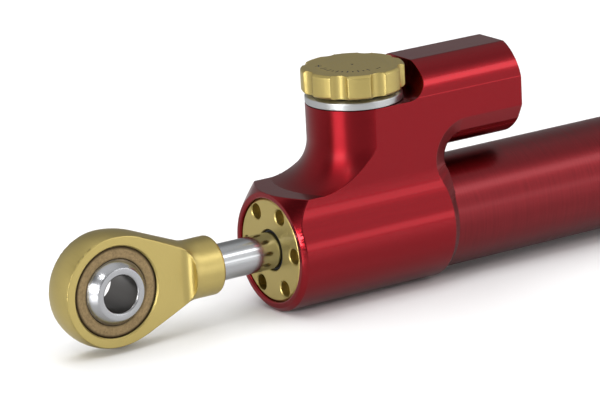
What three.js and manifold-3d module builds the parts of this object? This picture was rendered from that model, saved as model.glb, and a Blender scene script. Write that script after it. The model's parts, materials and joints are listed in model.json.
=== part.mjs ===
// Motorcycle steering damper: a hydraulic cylinder with a through-bolted spherical rod end,
// a milled body with an adjusting knob on its tower, and a raised barrel that holds the gas reservoir.
// Millimetres, +Z up. While it is built, X runs along the rod from the front cap's face towards the
// rear, and the finished group is moved so that its origin lies under the middle of the whole damper.

import * as THREE from 'three';
import { mergeVertices } from 'three/addons/utils/BufferGeometryUtils.js';
import Module from 'manifold-3d';

const wasm = await Module();
wasm.setup();

// Fits and cuts shared by all pieces
const slideFit = 0.05;
const seatGap = 0.1;
const stopGap = 0.4;
const overrun = 1;
const weldDistance = 0.0001;

// Number of sides of round pieces
const wideSides = 32;
const roundSides = 20;
const smallSides = 12;
const holeSides = 10;
const portSides = 6;
const ringSides = 16;
const ringSteps = 5;
const bellySteps = 20;
const flankSteps = 4;
const flareSteps = 8;
const eyeSteps = 9;
const ballSteps = 6;
const raceSteps = 4;
const filletSteps = 3;
const barrelCurveSegments = 8;
const pocketCurveSegments = 4;
const flatCurveSegments = 3;
const knobCurveSegments = 2;

// Stroke of the rod, from rest
const strokeOut = 60;
const strokeIn = 10;

// Piston rod
const rodRadius = 4;
const stubStep = 1.05;
const rodChamfer = 0.5;
const threadDepth = 8;

// Front gland cap
const glandWall = 2.24;
const capRecess = 0.3;
const capHeadLength = 9;
const capSpigotLength = 4;
const capChamfer = 0.45;
const glandHoleGap = 0.5;
const glandHoleChamfer = 0.2;
const pinHoleCount = 6;
const pinHoleRadius = 1.725;
const pinHoleInset = 2.26;
const pinHoleDepth = 3.5;
const pinHoleTurn = 122.74;

// Wiper, guide bush and oil seal, one behind the other in the gland cap
const wiperWall = 1.6;
const wiperFront = 1.2;
const wiperLength = 2.2;
const wiperLipLength = 0.8;
const glandRibThickness = 0.4;
const bushWall = 1;
const bushLength = 6;
const sealWall = 2.95;
const sealLength = 2.2;
const sealLipDepth = 1.1;
const sealLipWidth = 1;

// O-rings of both caps
const capRingThickness = 1.4;
const capRingGrooveWidth = 1.7;
const glandRingPlace = 7.15;
const endRingPlace = 2.3;

// Outer tube, inner cylinder and end cap
const tubeWall = 1.27;
const oilGap = 1.2;
const cylinderBoreRadius = 9;
const cylinderWall = 0.8;
const cylinderPortCount = 6;
const cylinderPortRadius = 1;
const cylinderPortInset = 1.5;
const endHeadLength = 8.7;
const endSpigotLength = 3;

// Piston
const pistonLength = 7;
const bandDepth = 0.85;
const bandWidth = 3;
const pistonPortCount = 6;
const pistonPortRadius = 0.9;
const pistonPortInset = 2.7;
const washerWidth = 1.95;
const washerThickness = 1;
const nutWall = 1.55;
const nutLength = 3.2;
const stubTip = 0.8;

// Rod end: eye, neck and the flats on both sides of the eye
const neckGap = 5.1;
const neckPastEye = 13.07;
const neckWall = 2.4;
const neckEdgeRadius = 0.8;
const eyeWall = 2.64;
const shoulderRadius = 18.7;
const coneAngle = 22;
const coneFilletRadius = 8;
const eyeHalfWidth = 3.9;
const flatPastEye = 3.27;
const flatFilletRadius = 2.3;
const raceSeatChamfer = 0.3;
const socketBottomGap = 0.5;

// Bearing in the eye
const raceRecess = 0.38;
const raceWall = 1.86;
const ballRadius = 7.94;
const ballFaceWidth = 1.527;
const ballBoreRadius = 4;
const ballBoreChamfer = 0.33;

// Milled body: section across the rod
const bodyWall = 1.27;
const webInset = 0.46;
const webFilletRadius = 18;
const footDrop = 0.94;
const bodyTail = 41.2;
const tailChamferLength = 2.1;
const tailRimWall = 0.03;
const tailChamferRise = 0.1;
const frontRimDrop = 0.94;
const frontRimChamfer = 0.25;
const frontConeWidth = 4;
const glandShoulder = 0.45;
const socketFront = 22;

// Tower that carries the adjusting valve
const towerX = 23.28;
const towerRadius = 10.57;
const towerRise = 2.77;
const flareRadius = 8.7;
const flareSink = 0.02;

// Raised barrel with the reservoir, the pocket in front of it and the slot under it
const barrelRadius = 10.96;
const barrelTubeGap = 3;
const barrelRecess = 0.24;
const barrelFlatDepth = 0.89;
const facetDrop = 3.27;
const facetEndAngle = -35.7;
const knobClearance = 1.06;
const pocketFilletRadius = 5;
const spotFaceGap = 0.25;
const slotPastTail = 4.26;
const slotRise = 2.05;
const slotFlareDepth = 1.8;
const slotFlareWidth = 3.45;
const slotBlendRadius = 9;
const slotSteps = 11;
const slotBlendSteps = 4;

// Reservoir in the barrel
const reservoirRadius = 8.8;
const reservoirWall = 1.75;
const floatLength = 4.2;
const floatDishRadius = 6.2;
const floatDishDepth = 1.6;
const floatRingThickness = 1.3;
const floatRingGrooveWidth = 1.6;
const plugLength = 3.65;
const plugChamfer = 0.4;
const plugRingThickness = 1;
const plugRingGrooveWidth = 1.3;
const plugPinCount = 2;
const plugPinPitchRadius = 5.8;
const plugPinRadius = 1.1;
const plugPinDepth = 1.6;
const gasHoleRadius = 0.6;
const chargeScrewRadius = 2;
const chargeScrewLength = 2.4;
const chargeScrewHexRadius = 0.9;
const chargeScrewHexDepth = 1.2;

// Valve passages in the tower
const chamberDepth = 13;
const chamberRadius = 4;
const cartridgeDepth = 9;
const seatHoleRadius = 1.6;
const portRise = 0.07;
const portRadius = 1.1;

// Valve cartridge with its silver flange
const cartridgeRadius = 5.95;
const cartridgeTip = 0.3;
const flangeHeight = 2.1;
const flangeChamferHeight = 0.6;
const flangeChamferWidth = 1.2;
const cartridgeNeckLength = 3.1;
const guideRadius = 3.7;
const keyWidth = 1.3;
const keyHeight = 0.7;
const cartridgeRingThickness = 0.9;
const cartridgeRingGrooveWidth = 1.2;
const cartridgeRingDrop = 5;

// Spindle and metering needle
const spindleRadius = 2.5;
const collarLength = 1.5;
const stemRadius = 1.5;
const stemLength = 4.5;
const spindleRingThickness = 0.7;
const spindleRingGrooveWidth = 0.9;
const spindleRingDrop = 1.4;
const needleDrop = 0.7;
const needleGuideLength = 5;
const needleBoreLength = 4.8;
const needleShankRadius = 2.2;
const needleShankLength = 3.6;
const needleConeLength = 1.9;
const needleTipRadius = 0.5;

// Adjusting knob
const knobOverhang = 0.64;
const knobGap = 0.3;
const knobHeight = 5.23;
const knobRoof = 1.73;
const knobChamfer = 0.5;
const fluteCount = 8;
const fluteRadius = 2.35;
const fluteDepth = 1.1;
const fluteTurn = -94.5;
const grubRadius = 1.45;
const grubLength = 5;
const grubHexRadius = 0.75;
const grubHexDepth = 1.5;
const grubHeightShare = 0.34;

// Click detent between the flange and the knob
const detentInset = 1.55;
const detentBallRadius = 0.8;
const dimpleCount = 24;
const dimpleSides = 6;
const dimpleRadius = 0.78;
const dimpleDepth = 0.4;
const detentPocketDepth = 2.9;
const springWire = 0.16;
const springTurns = 4;
const springSides = 4;
const springStepsPerTurn = 8;

// Radii of the rod and what it runs in, from the sizes above
const stubRadius = rodRadius - stubStep;
const rodBoreRadius = rodRadius + slideFit;
const glandHoleRadius = rodRadius + glandHoleGap;
const wiperRadius = rodRadius + wiperWall;
const bushRadius = rodRadius + bushWall;
const sealRadius = rodRadius + sealWall;
const neckRadius = rodRadius + neckWall;
const washerRadius = stubRadius + washerWidth;
const nutAcrossFlats = 2 * (stubRadius + nutWall);

// Radii from the cylinder's bore out to the body, and of the caps and piston that fit in them
const tubeBoreRadius = cylinderBoreRadius + cylinderWall + oilGap;
const tubeRadius = tubeBoreRadius + tubeWall;
const tubeSeatRadius = tubeRadius + slideFit;
const bodyRadius = tubeRadius + bodyWall;
const frontRimRadius = bodyRadius - frontRimDrop;
const footHeight = bodyRadius - footDrop;
const capRadius = bodyRadius - glandWall;
const pinHolePitchRadius = capRadius - pinHoleInset;
const glandBoreRadius = capRadius + slideFit;
const oilBoreRadius = glandBoreRadius - glandShoulder;
const spigotRadius = cylinderBoreRadius - seatGap;
const pistonRadius = cylinderBoreRadius - seatGap;
const pistonPortPitchRadius = pistonRadius - pistonPortInset;

// Bearing and eye from the ball outwards
const ballHalfWidth = Math.sqrt(ballRadius ** 2 - (ballBoreRadius + ballFaceWidth) ** 2);
const raceRadius = ballRadius + raceWall;
const raceHalfWidth = eyeHalfWidth - raceRecess;
const raceSeatRadius = raceRadius + slideFit;
const eyeRadius = raceSeatRadius + eyeWall;
const neckToEye = eyeRadius + neckPastEye;
const flatRunOut = eyeRadius + flatPastEye;

// Places along the rod that follow from the sizes above
const gradient = (degrees) => Math.tan(THREE.MathUtils.degToRad(degrees));
const neckFace = -(strokeIn + neckGap);
const eyeX = neckFace - neckToEye;
const spigotEnd = capHeadLength + capSpigotLength;
const pistonFront = spigotEnd + strokeOut + stopGap;
const washerFront = pistonFront + pistonLength + seatGap;
const nutFront = washerFront + washerThickness + seatGap;
const rodTail = nutFront + nutLength + stubTip;
const endSpigotFace = rodTail + strokeIn + stopGap;
const endHeadFace = endSpigotFace + endSpigotLength;
const endFace = endHeadFace + endHeadLength;
const tubeEnd = endFace + capRecess;
const frontFace = -capRecess;

// Sizes of the barrel, the web and the slot that follow from the sizes above
const webHalfWidth = barrelRadius - webInset;
const barrelHeight = tubeRadius + barrelTubeGap + barrelRadius;
const barrelTop = barrelHeight + barrelRadius - barrelFlatDepth;
const slotHeight = tubeRadius + slotRise;
const slotX = bodyTail + slotPastTail;
const facetTop = barrelHeight - facetDrop;
const slotRadius = facetTop - slotHeight;
const portHeight = barrelHeight - reservoirRadius + portRadius + portRise;

// Radii and heights in the tower that follow from the sizes above
const knobRadius = towerRadius + knobOverhang;
const collarRadius = guideRadius - 2 * slideFit;
const detentPitchRadius = cartridgeRadius + detentInset;
const towerTop = barrelHeight + towerRise;
const chamberFloor = towerTop - chamberDepth;
const cartridgeFloor = towerTop - cartridgeDepth;
const flangeBottom = towerTop + seatGap;
const flangeTop = flangeBottom + flangeHeight;
const collarTop = flangeTop - cartridgeNeckLength - seatGap;
const collarBottom = collarTop - collarLength;
const needleTop = collarBottom - needleDrop;
const needleGuideBottom = needleTop - needleGuideLength;
const needleShankBottom = needleGuideBottom - needleShankLength;
const needleTip = needleShankBottom - needleConeLength;
const knobBottom = flangeTop + knobGap;
const knobTop = knobBottom + knobHeight;
const spindleTop = knobTop - knobRoof - stopGap;

// Places along the barrel that follow from the sizes above
const pocketWall = towerX + knobRadius + knobClearance;
const reservoirFront = pocketWall + reservoirWall;
const reservoirShare = (rodRadius / reservoirRadius) ** 2;
const floatFront = reservoirFront + stopGap + strokeOut * reservoirShare;
const floatRear = floatFront + floatLength;
const plugFront = floatRear + strokeIn * reservoirShare + seatGap;
const plugFace = plugFront + plugLength;
const barrelEnd = plugFace + barrelRecess;

// Finishes
function finish(color, roughness, metalness) {
  return new THREE.MeshStandardMaterial({ color, roughness, metalness });
}
const redGloss = finish(0x7d0d16, 0.28, 0.6);
const redSatin = finish(0x9a1a22, 0.42, 0.6);
const gold = finish(0xb8a35a, 0.35, 0.9);
const bronze = finish(0x9a7350, 0.45, 0.9);
const chrome = finish(0xd8dadc, 0.12, 1);
const steel = finish(0xa9abad, 0.35, 0.9);
const silver = finish(0xc6c8ca, 0.3, 0.9);
const aluminium = finish(0xb4b6b8, 0.4, 0.9);
const brass = finish(0xb5953f, 0.35, 0.9);
const rubber = finish(0x151515, 0.8, 0);
const polymer = finish(0x2c3a33, 0.6, 0);

// Keeps a geometry's points and faces only, with shared points merged and empty faces left out
function bareMesh(geometry) {
  const bare = new THREE.BufferGeometry();
  bare.setAttribute('position', geometry.getAttribute('position').clone());
  bare.setIndex(geometry.getIndex() ? geometry.getIndex().clone() : null);
  const merged = mergeVertices(bare, weldDistance);
  const index = merged.getIndex().array;
  const faces = [];
  for (let i = 0; i < index.length; i += 3) {
    const [a, b, c] = [index[i], index[i + 1], index[i + 2]];
    if (a !== b && b !== c && c !== a) faces.push([a, b, c]);
  }
  return { points: merged.getAttribute('position').array, faces };
}

// Six times the volume that the faces enclose, negative where they point inwards
function signedVolume(points, faces) {
  const corner = (i) => new THREE.Vector3().fromArray(points, 3 * i);
  let sum = 0;
  for (const [a, b, c] of faces) sum += corner(a).dot(corner(b).cross(corner(c)));
  return sum;
}

// Makes a solid that can be joined and cut
function toSolid(geometry) {
  const { points, faces } = bareMesh(geometry);
  const inwards = signedVolume(points, faces) < 0;
  const ordered = faces.map(([a, b, c]) => (inwards ? [a, c, b] : [a, b, c]));
  const mesh = new wasm.Mesh({
    numProp: 3,
    vertProperties: new Float32Array(points),
    triVerts: new Uint32Array(ordered.flat()),
  });
  return new wasm.Manifold(mesh);
}

// Turns a solid back into a geometry
function toGeometry(solid) {
  const mesh = solid.getMesh();
  const geometry = new THREE.BufferGeometry();
  geometry.setAttribute('position', new THREE.BufferAttribute(mesh.vertProperties, 3));
  geometry.setIndex(new THREE.BufferAttribute(mesh.triVerts, 1));
  geometry.computeVertexNormals();
  return geometry;
}

function join(first, ...others) {
  return toGeometry(others.reduce((solid, other) => solid.add(toSolid(other)), toSolid(first)));
}

function cut(first, ...cutters) {
  return toGeometry(cutters.reduce((solid, cutter) => solid.subtract(toSolid(cutter)), toSolid(first)));
}

function common(first, second) {
  return toGeometry(toSolid(first).intersect(toSolid(second)));
}

// A round piece from its closed half section of [place along the axis, radius] points
function turned(axis, sides, section) {
  const points = section.map(([along, radius]) => new THREE.Vector2(radius, along));
  points.push(points[0].clone());
  const geometry = new THREE.LatheGeometry(points, sides);
  if (axis === 'x') geometry.rotateZ(-Math.PI / 2);
  if (axis === 'z') geometry.rotateX(Math.PI / 2);
  return geometry;
}

// A plain round bar between two places on the axis
function bar(axis, sides, radius, start, end) {
  return turned(axis, sides, [[start, 0], [start, radius], [end, radius], [end, 0]]);
}

// A plain round sleeve between two places on the axis
function sleeve(axis, sides, bore, radius, start, end) {
  return turned(axis, sides, [[start, bore], [start, radius], [end, radius], [end, bore]]);
}

// A bar from start to end, on a line beside the axis at a pitch radius and an angle in degrees
function barAround(axis, sides, radius, start, end, pitchRadius, degrees) {
  const angle = THREE.MathUtils.degToRad(degrees);
  const across = pitchRadius * Math.cos(angle);
  const up = pitchRadius * Math.sin(angle);
  const geometry = bar(axis, sides, radius, start, end);
  return axis === 'x' ? geometry.translate(0, across, up) : geometry.translate(across, up, 0);
}

// The same bar at equal angles all round the axis
function barsAround(axis, sides, radius, start, end, pitchRadius, count, turn) {
  const bars = [];
  for (let i = 0; i < count; i++) {
    bars.push(barAround(axis, sides, radius, start, end, pitchRadius, turn + (360 * i) / count));
  }
  return bars;
}

// A six-sided bar along an axis, by the radius of its corners
function hexBar(axis, cornerRadius, start, end) {
  return bar(axis, 6, cornerRadius, start, end);
}

// An outline in Y and Z, extruded along X between two places
function extrudedAlongX(outline, start, end, curveSegments) {
  const geometry = new THREE.ExtrudeGeometry(outline, {
    depth: end - start,
    bevelEnabled: false,
    curveSegments,
  });
  geometry.translate(0, 0, start);
  const toYZX = new THREE.Matrix4().makeBasis(
    new THREE.Vector3(0, 1, 0),
    new THREE.Vector3(0, 0, 1),
    new THREE.Vector3(1, 0, 0),
  );
  return geometry.applyMatrix4(toYZX);
}

// An outline in X and Z, extruded to both sides of the plane Y = 0
function extrudedAcrossY(outline, halfWidth, curveSegments) {
  const geometry = new THREE.ExtrudeGeometry(outline, {
    depth: 2 * halfWidth,
    bevelEnabled: false,
    curveSegments,
  });
  return geometry.translate(0, 0, -halfWidth).rotateX(Math.PI / 2);
}

// A solid through stations of equal point count, the first and the last each in a plane of one Y
function lofted(stations) {
  const count = stations[0].length;
  const last = (stations.length - 1) * count;
  const outline = stations[0].map(([x, , z]) => new THREE.Vector2(x, z));
  const cap = THREE.ShapeUtils.triangulateShape(outline, []);
  const area = THREE.ShapeUtils.area(outline);
  const capArea = THREE.ShapeUtils.area(cap[0].map((i) => outline[i]));
  const alike = cap.map(([a, b, c]) => (area * capArea > 0 ? [a, b, c] : [a, c, b]));
  const capOrder = alike.flatMap(([a, b, c]) => [a, b, c, last + a, last + c, last + b]);
  const index = [];
  for (let row = 0; row < last; row += count) {
    for (let i = 0; i < count; i++) {
      const [a, b] = [row + i, row + ((i + 1) % count)];
      index.push(a, a + count, b, b, a + count, b + count);
    }
  }
  const geometry = new THREE.BufferGeometry();
  const places = new Float32Array(stations.flat(2));
  geometry.setAttribute('position', new THREE.BufferAttribute(places, 3));
  geometry.setIndex([...capOrder, ...index]);
  return geometry;
}

// Points of an arc in [along, radius] terms, angles in degrees from the axis direction
function arcPoints(along, radius, arcRadius, startDegrees, endDegrees, steps) {
  const points = [];
  for (let i = 0; i <= steps; i++) {
    const degrees = THREE.MathUtils.lerp(startDegrees, endDegrees, i / steps);
    const angle = THREE.MathUtils.degToRad(degrees);
    points.push([along + arcRadius * Math.cos(angle), radius + arcRadius * Math.sin(angle)]);
  }
  return points;
}

// A ring of round section in a groove, whose flat sides clear the groove's round floor
function oRing(axis, outerRadius, depth, place) {
  const floorRadius = (outerRadius - depth) / Math.cos(Math.PI / ringSides);
  const middle = (outerRadius + floorRadius) / 2;
  const section = arcPoints(place, middle, outerRadius - middle, 0, 360, ringSteps);
  return turned(axis, ringSides, section.slice(0, -1));
}

// Section points of a groove in a surface of the given radius, centred on a place
function groove(radius, depth, width, place) {
  const start = place - width / 2;
  const end = place + width / 2;
  return [[start, radius], [start, radius - depth], [end, radius - depth], [end, radius]];
}

// Named mesh in a group
function add(group, name, geometry, material) {
  const mesh = new THREE.Mesh(toGeometry(toSolid(geometry)), material);
  mesh.name = name;
  group.add(mesh);
}

// Outline of the milled body across the rod: round belly, hollow flanks and upright sides
function bodyOutline() {
  const filletY = webHalfWidth + webFilletRadius;
  const filletZ = Math.sqrt((bodyRadius + webFilletRadius) ** 2 - filletY ** 2);
  const tangent = THREE.MathUtils.radToDeg(Math.atan2(filletZ, filletY));
  const left = arcPoints(-filletY, filletZ, webFilletRadius, 0, -tangent, flankSteps);
  const belly = arcPoints(0, 0, bodyRadius, 180 - tangent, 360 + tangent, bellySteps);
  const right = arcPoints(filletY, filletZ, webFilletRadius, 180 + tangent, 180, flankSteps);
  const points = [[-webHalfWidth, barrelTop], ...left, ...belly.slice(1, -1), ...right];
  points.push([webHalfWidth, barrelTop]);
  return new THREE.Shape(points.map(([y, z]) => new THREE.Vector2(y, z)));
}

// Lower body round the tube, with a coned front rim and a chamfered tail, flat on top
function bodyFoot() {
  const widest = frontRimRadius + frontConeWidth;
  const round = turned('x', wideSides, [
    [frontFace, 0],
    [frontFace, frontRimRadius],
    [frontFace + frontConeWidth, widest],
    [bodyTail - tailChamferLength, widest],
    [bodyTail - tailChamferLength, bodyRadius + tailChamferRise],
    [bodyTail, tubeSeatRadius + tailRimWall],
    [bodyTail, 0],
  ]);
  const above = new THREE.Shape();
  above.moveTo(frontFace - overrun, footHeight);
  above.lineTo(bodyTail + overrun, footHeight);
  above.lineTo(bodyTail + overrun, widest + overrun);
  above.lineTo(frontFace - overrun, widest + overrun);
  return cut(round, extrudedAcrossY(above, widest + overrun, 1));
}

// Tower with the hollow flare that runs out in the foot's flat
function bodyTower() {
  const flareTop = footHeight - flareSink + flareRadius;
  const flare = arcPoints(flareTop, towerRadius + flareRadius, flareRadius, 180, 270, flareSteps);
  const base = footHeight - overrun;
  const section = [[base, 0], [base, towerRadius + flareRadius], ...flare];
  section.push([towerTop, towerRadius], [towerTop, 0]);
  return turned('z', wideSides, section).translate(towerX, 0, 0);
}

// Web between the tower and the barrel, before the slot is cut in its rear edge
function bodyWeb() {
  const [, blendZ] = slotBlendMiddle();
  const base = blendZ + slideFit;
  const outline = new THREE.Shape();
  outline.moveTo(towerX, base);
  outline.lineTo(slotX, base);
  outline.lineTo(slotX, towerTop);
  outline.lineTo(towerX, towerTop);
  return extrudedAcrossY(outline, bodyRadius, 1);
}

// Half width of the milled body at a height above the belly's middle
function flankY(height) {
  const filletY = webHalfWidth + webFilletRadius;
  const filletZ = Math.sqrt((bodyRadius + webFilletRadius) ** 2 - filletY ** 2);
  const below = Math.max(0, filletZ - height);
  return filletY - Math.sqrt(webFilletRadius ** 2 - below ** 2);
}

// Middle of the convex blend between the slot and the tail, in X and Z
function slotBlendMiddle() {
  const x = bodyTail - tailChamferLength - slotBlendRadius;
  const centres = slotRadius + slotBlendRadius;
  return [x, slotHeight - Math.sqrt(centres ** 2 - (slotX - x) ** 2)];
}

// Edge of the slot on the flank, top to tail: place, direction into the slot and flare's slope
function slotEdge() {
  const [blendX, blendZ] = slotBlendMiddle();
  const turn = THREE.MathUtils.radToDeg(Math.atan2(slotHeight - blendZ, slotX - blendX));
  const slotSlope = slotFlareWidth / slotFlareDepth;
  const tailDepth = bodyRadius + tailChamferRise - tubeSeatRadius - tailRimWall;
  const tailTilt = Math.cos(Math.asin(blendZ / bodyRadius));
  const tailSlope = (tailChamferLength / tailDepth) * tailTilt;
  const edge = [];
  for (const [x, z] of arcPoints(slotX, slotHeight, slotRadius, 90, 180 + turn, slotSteps)) {
    const inX = (slotX - x) / slotRadius;
    const inZ = (slotHeight - z) / slotRadius;
    edge.push({ x, z, inX, inZ, slope: slotSlope });
  }
  const blend = arcPoints(blendX, blendZ, slotBlendRadius, turn, 0, slotBlendSteps);
  for (let i = 1; i < blend.length; i++) {
    const [x, z] = blend[i];
    const inX = (x - blendX) / slotBlendRadius;
    const inZ = (z - blendZ) / slotBlendRadius;
    edge.push({ x, z, inX, inZ, slope: THREE.MathUtils.lerp(slotSlope, tailSlope, i / slotBlendSteps) });
  }
  return edge;
}

// Points of the slot cutter at one station: its edge moved into the slot, closed behind
function slotStation(edge, side, depthAt) {
  const points = edge.map(({ x, z, inX, inZ, slope }) => {
    const depth = depthAt(z);
    return [x + inX * depth * slope, side * (flankY(z) - depth), z + inZ * depth * slope];
  });
  const [, firstY, firstZ] = points[0];
  const [, lastY, lastZ] = points[points.length - 1];
  const rear = slotX + slotRadius;
  return [...points, [rear, lastY, lastZ], [rear, firstY, firstZ]];
}

// Slot cutter under the barrel, flared along the flanks and blended into the tail
function slotCutter() {
  const edge = slotEdge();
  const reach = bodyRadius + overrun;
  const beyond = (z) => flankY(z) - reach;
  return lofted([
    slotStation(edge, -1, beyond),
    slotStation(edge, -1, () => slotFlareDepth),
    slotStation(edge, 1, () => slotFlareDepth),
    slotStation(edge, 1, beyond),
  ]);
}

// Outline of the barrel across the rod: a circle with a flat facet low on each side
function barrelOutline() {
  const end = THREE.MathUtils.degToRad(facetEndAngle);
  const endY = barrelRadius * Math.cos(end);
  const endZ = barrelHeight + barrelRadius * Math.sin(end);
  const slope = (facetTop - endZ) / (webHalfWidth - endY);
  const outerY = webHalfWidth + overrun;
  const outerZ = facetTop + overrun * slope;
  const outline = new THREE.Shape();
  outline.moveTo(outerY, outerZ);
  outline.absarc(0, barrelHeight, barrelRadius, 0, Math.PI, false);
  outline.lineTo(-outerY, outerZ);
  outline.absarc(0, barrelHeight, barrelRadius, Math.PI - end, 2 * Math.PI + end, false);
  return outline;
}

// Pocket in front of the barrel, with a filleted wall
function pocketCutter() {
  const filletX = pocketWall - pocketFilletRadius;
  const filletZ = towerTop + pocketFilletRadius;
  const top = barrelHeight + barrelRadius + overrun;
  const outline = new THREE.Shape();
  outline.moveTo(towerX - overrun, towerTop);
  outline.lineTo(filletX, towerTop);
  outline.absarc(filletX, filletZ, pocketFilletRadius, -Math.PI / 2, 0, false);
  outline.lineTo(pocketWall, top);
  outline.lineTo(towerX - overrun, top);
  return extrudedAcrossY(outline, barrelRadius + overrun, pocketCurveSegments);
}

// Round spot face in the pocket's fillet, which lets the valve's flange sit on the tower
function spotFace() {
  const top = barrelHeight + barrelRadius + overrun;
  return bar('z', wideSides, towerRadius + spotFaceGap, towerTop, top).translate(towerX, 0, 0);
}

// Stepped bore along the rod: gland cap, oil space and the seat of the outer tube
function rodBore() {
  return turned('x', wideSides, [
    [frontFace - overrun, 0],
    [frontFace - overrun, glandBoreRadius + frontRimChamfer + overrun],
    [frontFace + frontRimChamfer, glandBoreRadius],
    [capHeadLength, glandBoreRadius],
    [capHeadLength, oilBoreRadius],
    [socketFront, oilBoreRadius],
    [socketFront, tubeSeatRadius],
    [bodyTail + overrun, tubeSeatRadius],
    [bodyTail + overrun, 0],
  ]);
}

// Valve bores down the tower: cartridge thread, chamber and the seat hole to the oil space
function valveBore() {
  return turned('z', wideSides, [
    [0, 0],
    [0, seatHoleRadius],
    [chamberFloor, seatHoleRadius],
    [chamberFloor, chamberRadius],
    [cartridgeFloor, chamberRadius],
    [cartridgeFloor, cartridgeRadius + slideFit],
    [towerTop + overrun, cartridgeRadius + slideFit],
    [towerTop + overrun, 0],
  ]).translate(towerX, 0, 0);
}

function housing() {
  const web = join(bodyFoot(), bodyTower(), bodyWeb());
  const round = extrudedAlongX(barrelOutline(), towerX, barrelEnd, barrelCurveSegments);
  const barrel = cut(round, pocketCutter(), spotFace());
  const form = join(cut(web, slotCutter()), barrel);
  const milled = common(form, extrudedAlongX(bodyOutline(), frontFace, barrelEnd, 1));
  const reservoir = bar('x', wideSides, reservoirRadius, reservoirFront, barrelEnd + overrun);
  const port = bar('x', holeSides, portRadius, towerX, reservoirFront + overrun);
  const detentBore = detentBallRadius + slideFit;
  const pocketEnd = towerTop - detentPocketDepth;
  const pocket = bar('z', holeSides, detentBore, pocketEnd, towerTop + overrun);
  return cut(
    milled,
    rodBore(),
    valveBore(),
    reservoir.translate(0, 0, barrelHeight),
    port.translate(0, 0, portHeight),
    pocket.translate(towerX + detentPitchRadius, 0, 0),
  );
}

function outerTube() {
  return sleeve('x', wideSides, tubeBoreRadius, tubeRadius, socketFront + seatGap, tubeEnd);
}

function innerCylinder() {
  const outer = cylinderBoreRadius + cylinderWall;
  const start = capHeadLength + seatGap;
  const end = endHeadFace - seatGap;
  const pipe = sleeve('x', wideSides, cylinderBoreRadius, outer, start, end);
  const portX = endSpigotFace - cylinderPortInset;
  const reach = outer + overrun;
  const ports = [];
  for (let i = 0; i < cylinderPortCount; i++) {
    const port = bar('z', portSides, cylinderPortRadius, 0, reach);
    port.rotateX((2 * Math.PI * i) / cylinderPortCount);
    ports.push(port.translate(portX, 0, 0));
  }
  return cut(pipe, ...ports);
}

function glandCap() {
  const headEnd = capHeadLength - seatGap;
  const wiperSeat = wiperRadius + slideFit;
  const wiperRear = wiperFront + wiperLength + seatGap;
  const bushFront = wiperRear + glandRibThickness;
  const sealFront = bushFront + bushLength + 2 * seatGap + glandRibThickness;
  const body = turned('x', wideSides, [
    [0, glandHoleRadius + glandHoleChamfer],
    [0, capRadius - capChamfer],
    [capChamfer, capRadius],
    ...groove(capRadius, capRingThickness, capRingGrooveWidth, glandRingPlace),
    [headEnd, capRadius],
    [headEnd, spigotRadius],
    [spigotEnd, spigotRadius],
    [spigotEnd, sealRadius + slideFit],
    [sealFront, sealRadius + slideFit],
    [sealFront, bushRadius + slideFit],
    [bushFront, bushRadius + slideFit],
    [bushFront, glandHoleRadius],
    [wiperRear, glandHoleRadius],
    [wiperRear, wiperSeat],
    [wiperFront - seatGap, wiperSeat],
    [wiperFront - seatGap, glandHoleRadius],
    [glandHoleChamfer, glandHoleRadius],
  ]);
  const holes = barsAround('x', holeSides, pinHoleRadius, -overrun, pinHoleDepth,
    pinHolePitchRadius, pinHoleCount, 180 - pinHoleTurn);
  return cut(body, ...holes);
}

function rodWiper() {
  const lipRadius = glandHoleRadius - slideFit;
  return turned('x', roundSides, [
    [wiperFront - wiperLipLength, rodBoreRadius],
    [wiperFront - wiperLipLength, (rodBoreRadius + lipRadius) / 2],
    [wiperFront - seatGap, lipRadius],
    [wiperFront, lipRadius],
    [wiperFront, wiperRadius],
    [wiperFront + wiperLength, wiperRadius],
    [wiperFront + wiperLength, rodBoreRadius],
  ]);
}

function guideBush() {
  const start = wiperFront + wiperLength + glandRibThickness + 2 * seatGap;
  return sleeve('x', roundSides, rodBoreRadius, bushRadius, start, start + bushLength);
}

// U-section seal, open towards the oil
function rodSeal() {
  const bushFront = wiperFront + wiperLength + seatGap + glandRibThickness;
  const start = bushFront + bushLength + 3 * seatGap + glandRibThickness;
  const end = start + sealLength;
  const middle = (rodBoreRadius + sealRadius) / 2;
  return turned('x', roundSides, [
    [start, rodBoreRadius],
    [start, sealRadius],
    [end, sealRadius],
    [end, sealRadius - sealLipWidth],
    [end - sealLipDepth, middle],
    [end, rodBoreRadius + sealLipWidth],
    [end, rodBoreRadius],
  ]);
}

function endCap() {
  const radius = tubeBoreRadius - slideFit;
  const body = turned('x', wideSides, [
    [endSpigotFace, 0],
    [endSpigotFace, spigotRadius],
    [endHeadFace, spigotRadius],
    [endHeadFace, radius],
    ...groove(radius, capRingThickness, capRingGrooveWidth, endHeadFace + endRingPlace),
    [endFace - capChamfer, radius],
    [endFace, radius - capChamfer],
    [endFace, 0],
  ]);
  const holes = barsAround('x', holeSides, pinHoleRadius, endFace - pinHoleDepth, endFace + overrun,
    radius - pinHoleInset, pinHoleCount, 0);
  return cut(body, ...holes);
}

function pistonRod() {
  const front = neckFace - threadDepth;
  return turned('x', roundSides, [
    [front, 0],
    [front, rodRadius - rodChamfer],
    [front + rodChamfer, rodRadius],
    [pistonFront, rodRadius],
    [pistonFront, stubRadius],
    [rodTail - rodChamfer, stubRadius],
    [rodTail, stubRadius - rodChamfer],
    [rodTail, 0],
  ]);
}

function piston() {
  const start = pistonFront + seatGap;
  const end = pistonFront + pistonLength;
  const middle = (start + end) / 2;
  const body = turned('x', wideSides, [
    [start, stubRadius + slideFit],
    [start, pistonRadius],
    ...groove(pistonRadius, bandDepth, bandWidth + 2 * seatGap, middle),
    [end, pistonRadius],
    [end, stubRadius + slideFit],
  ]);
  const ports = barsAround('x', portSides, pistonPortRadius, start - overrun, end + overrun,
    pistonPortPitchRadius, pistonPortCount, 0);
  return cut(body, ...ports);
}

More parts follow.
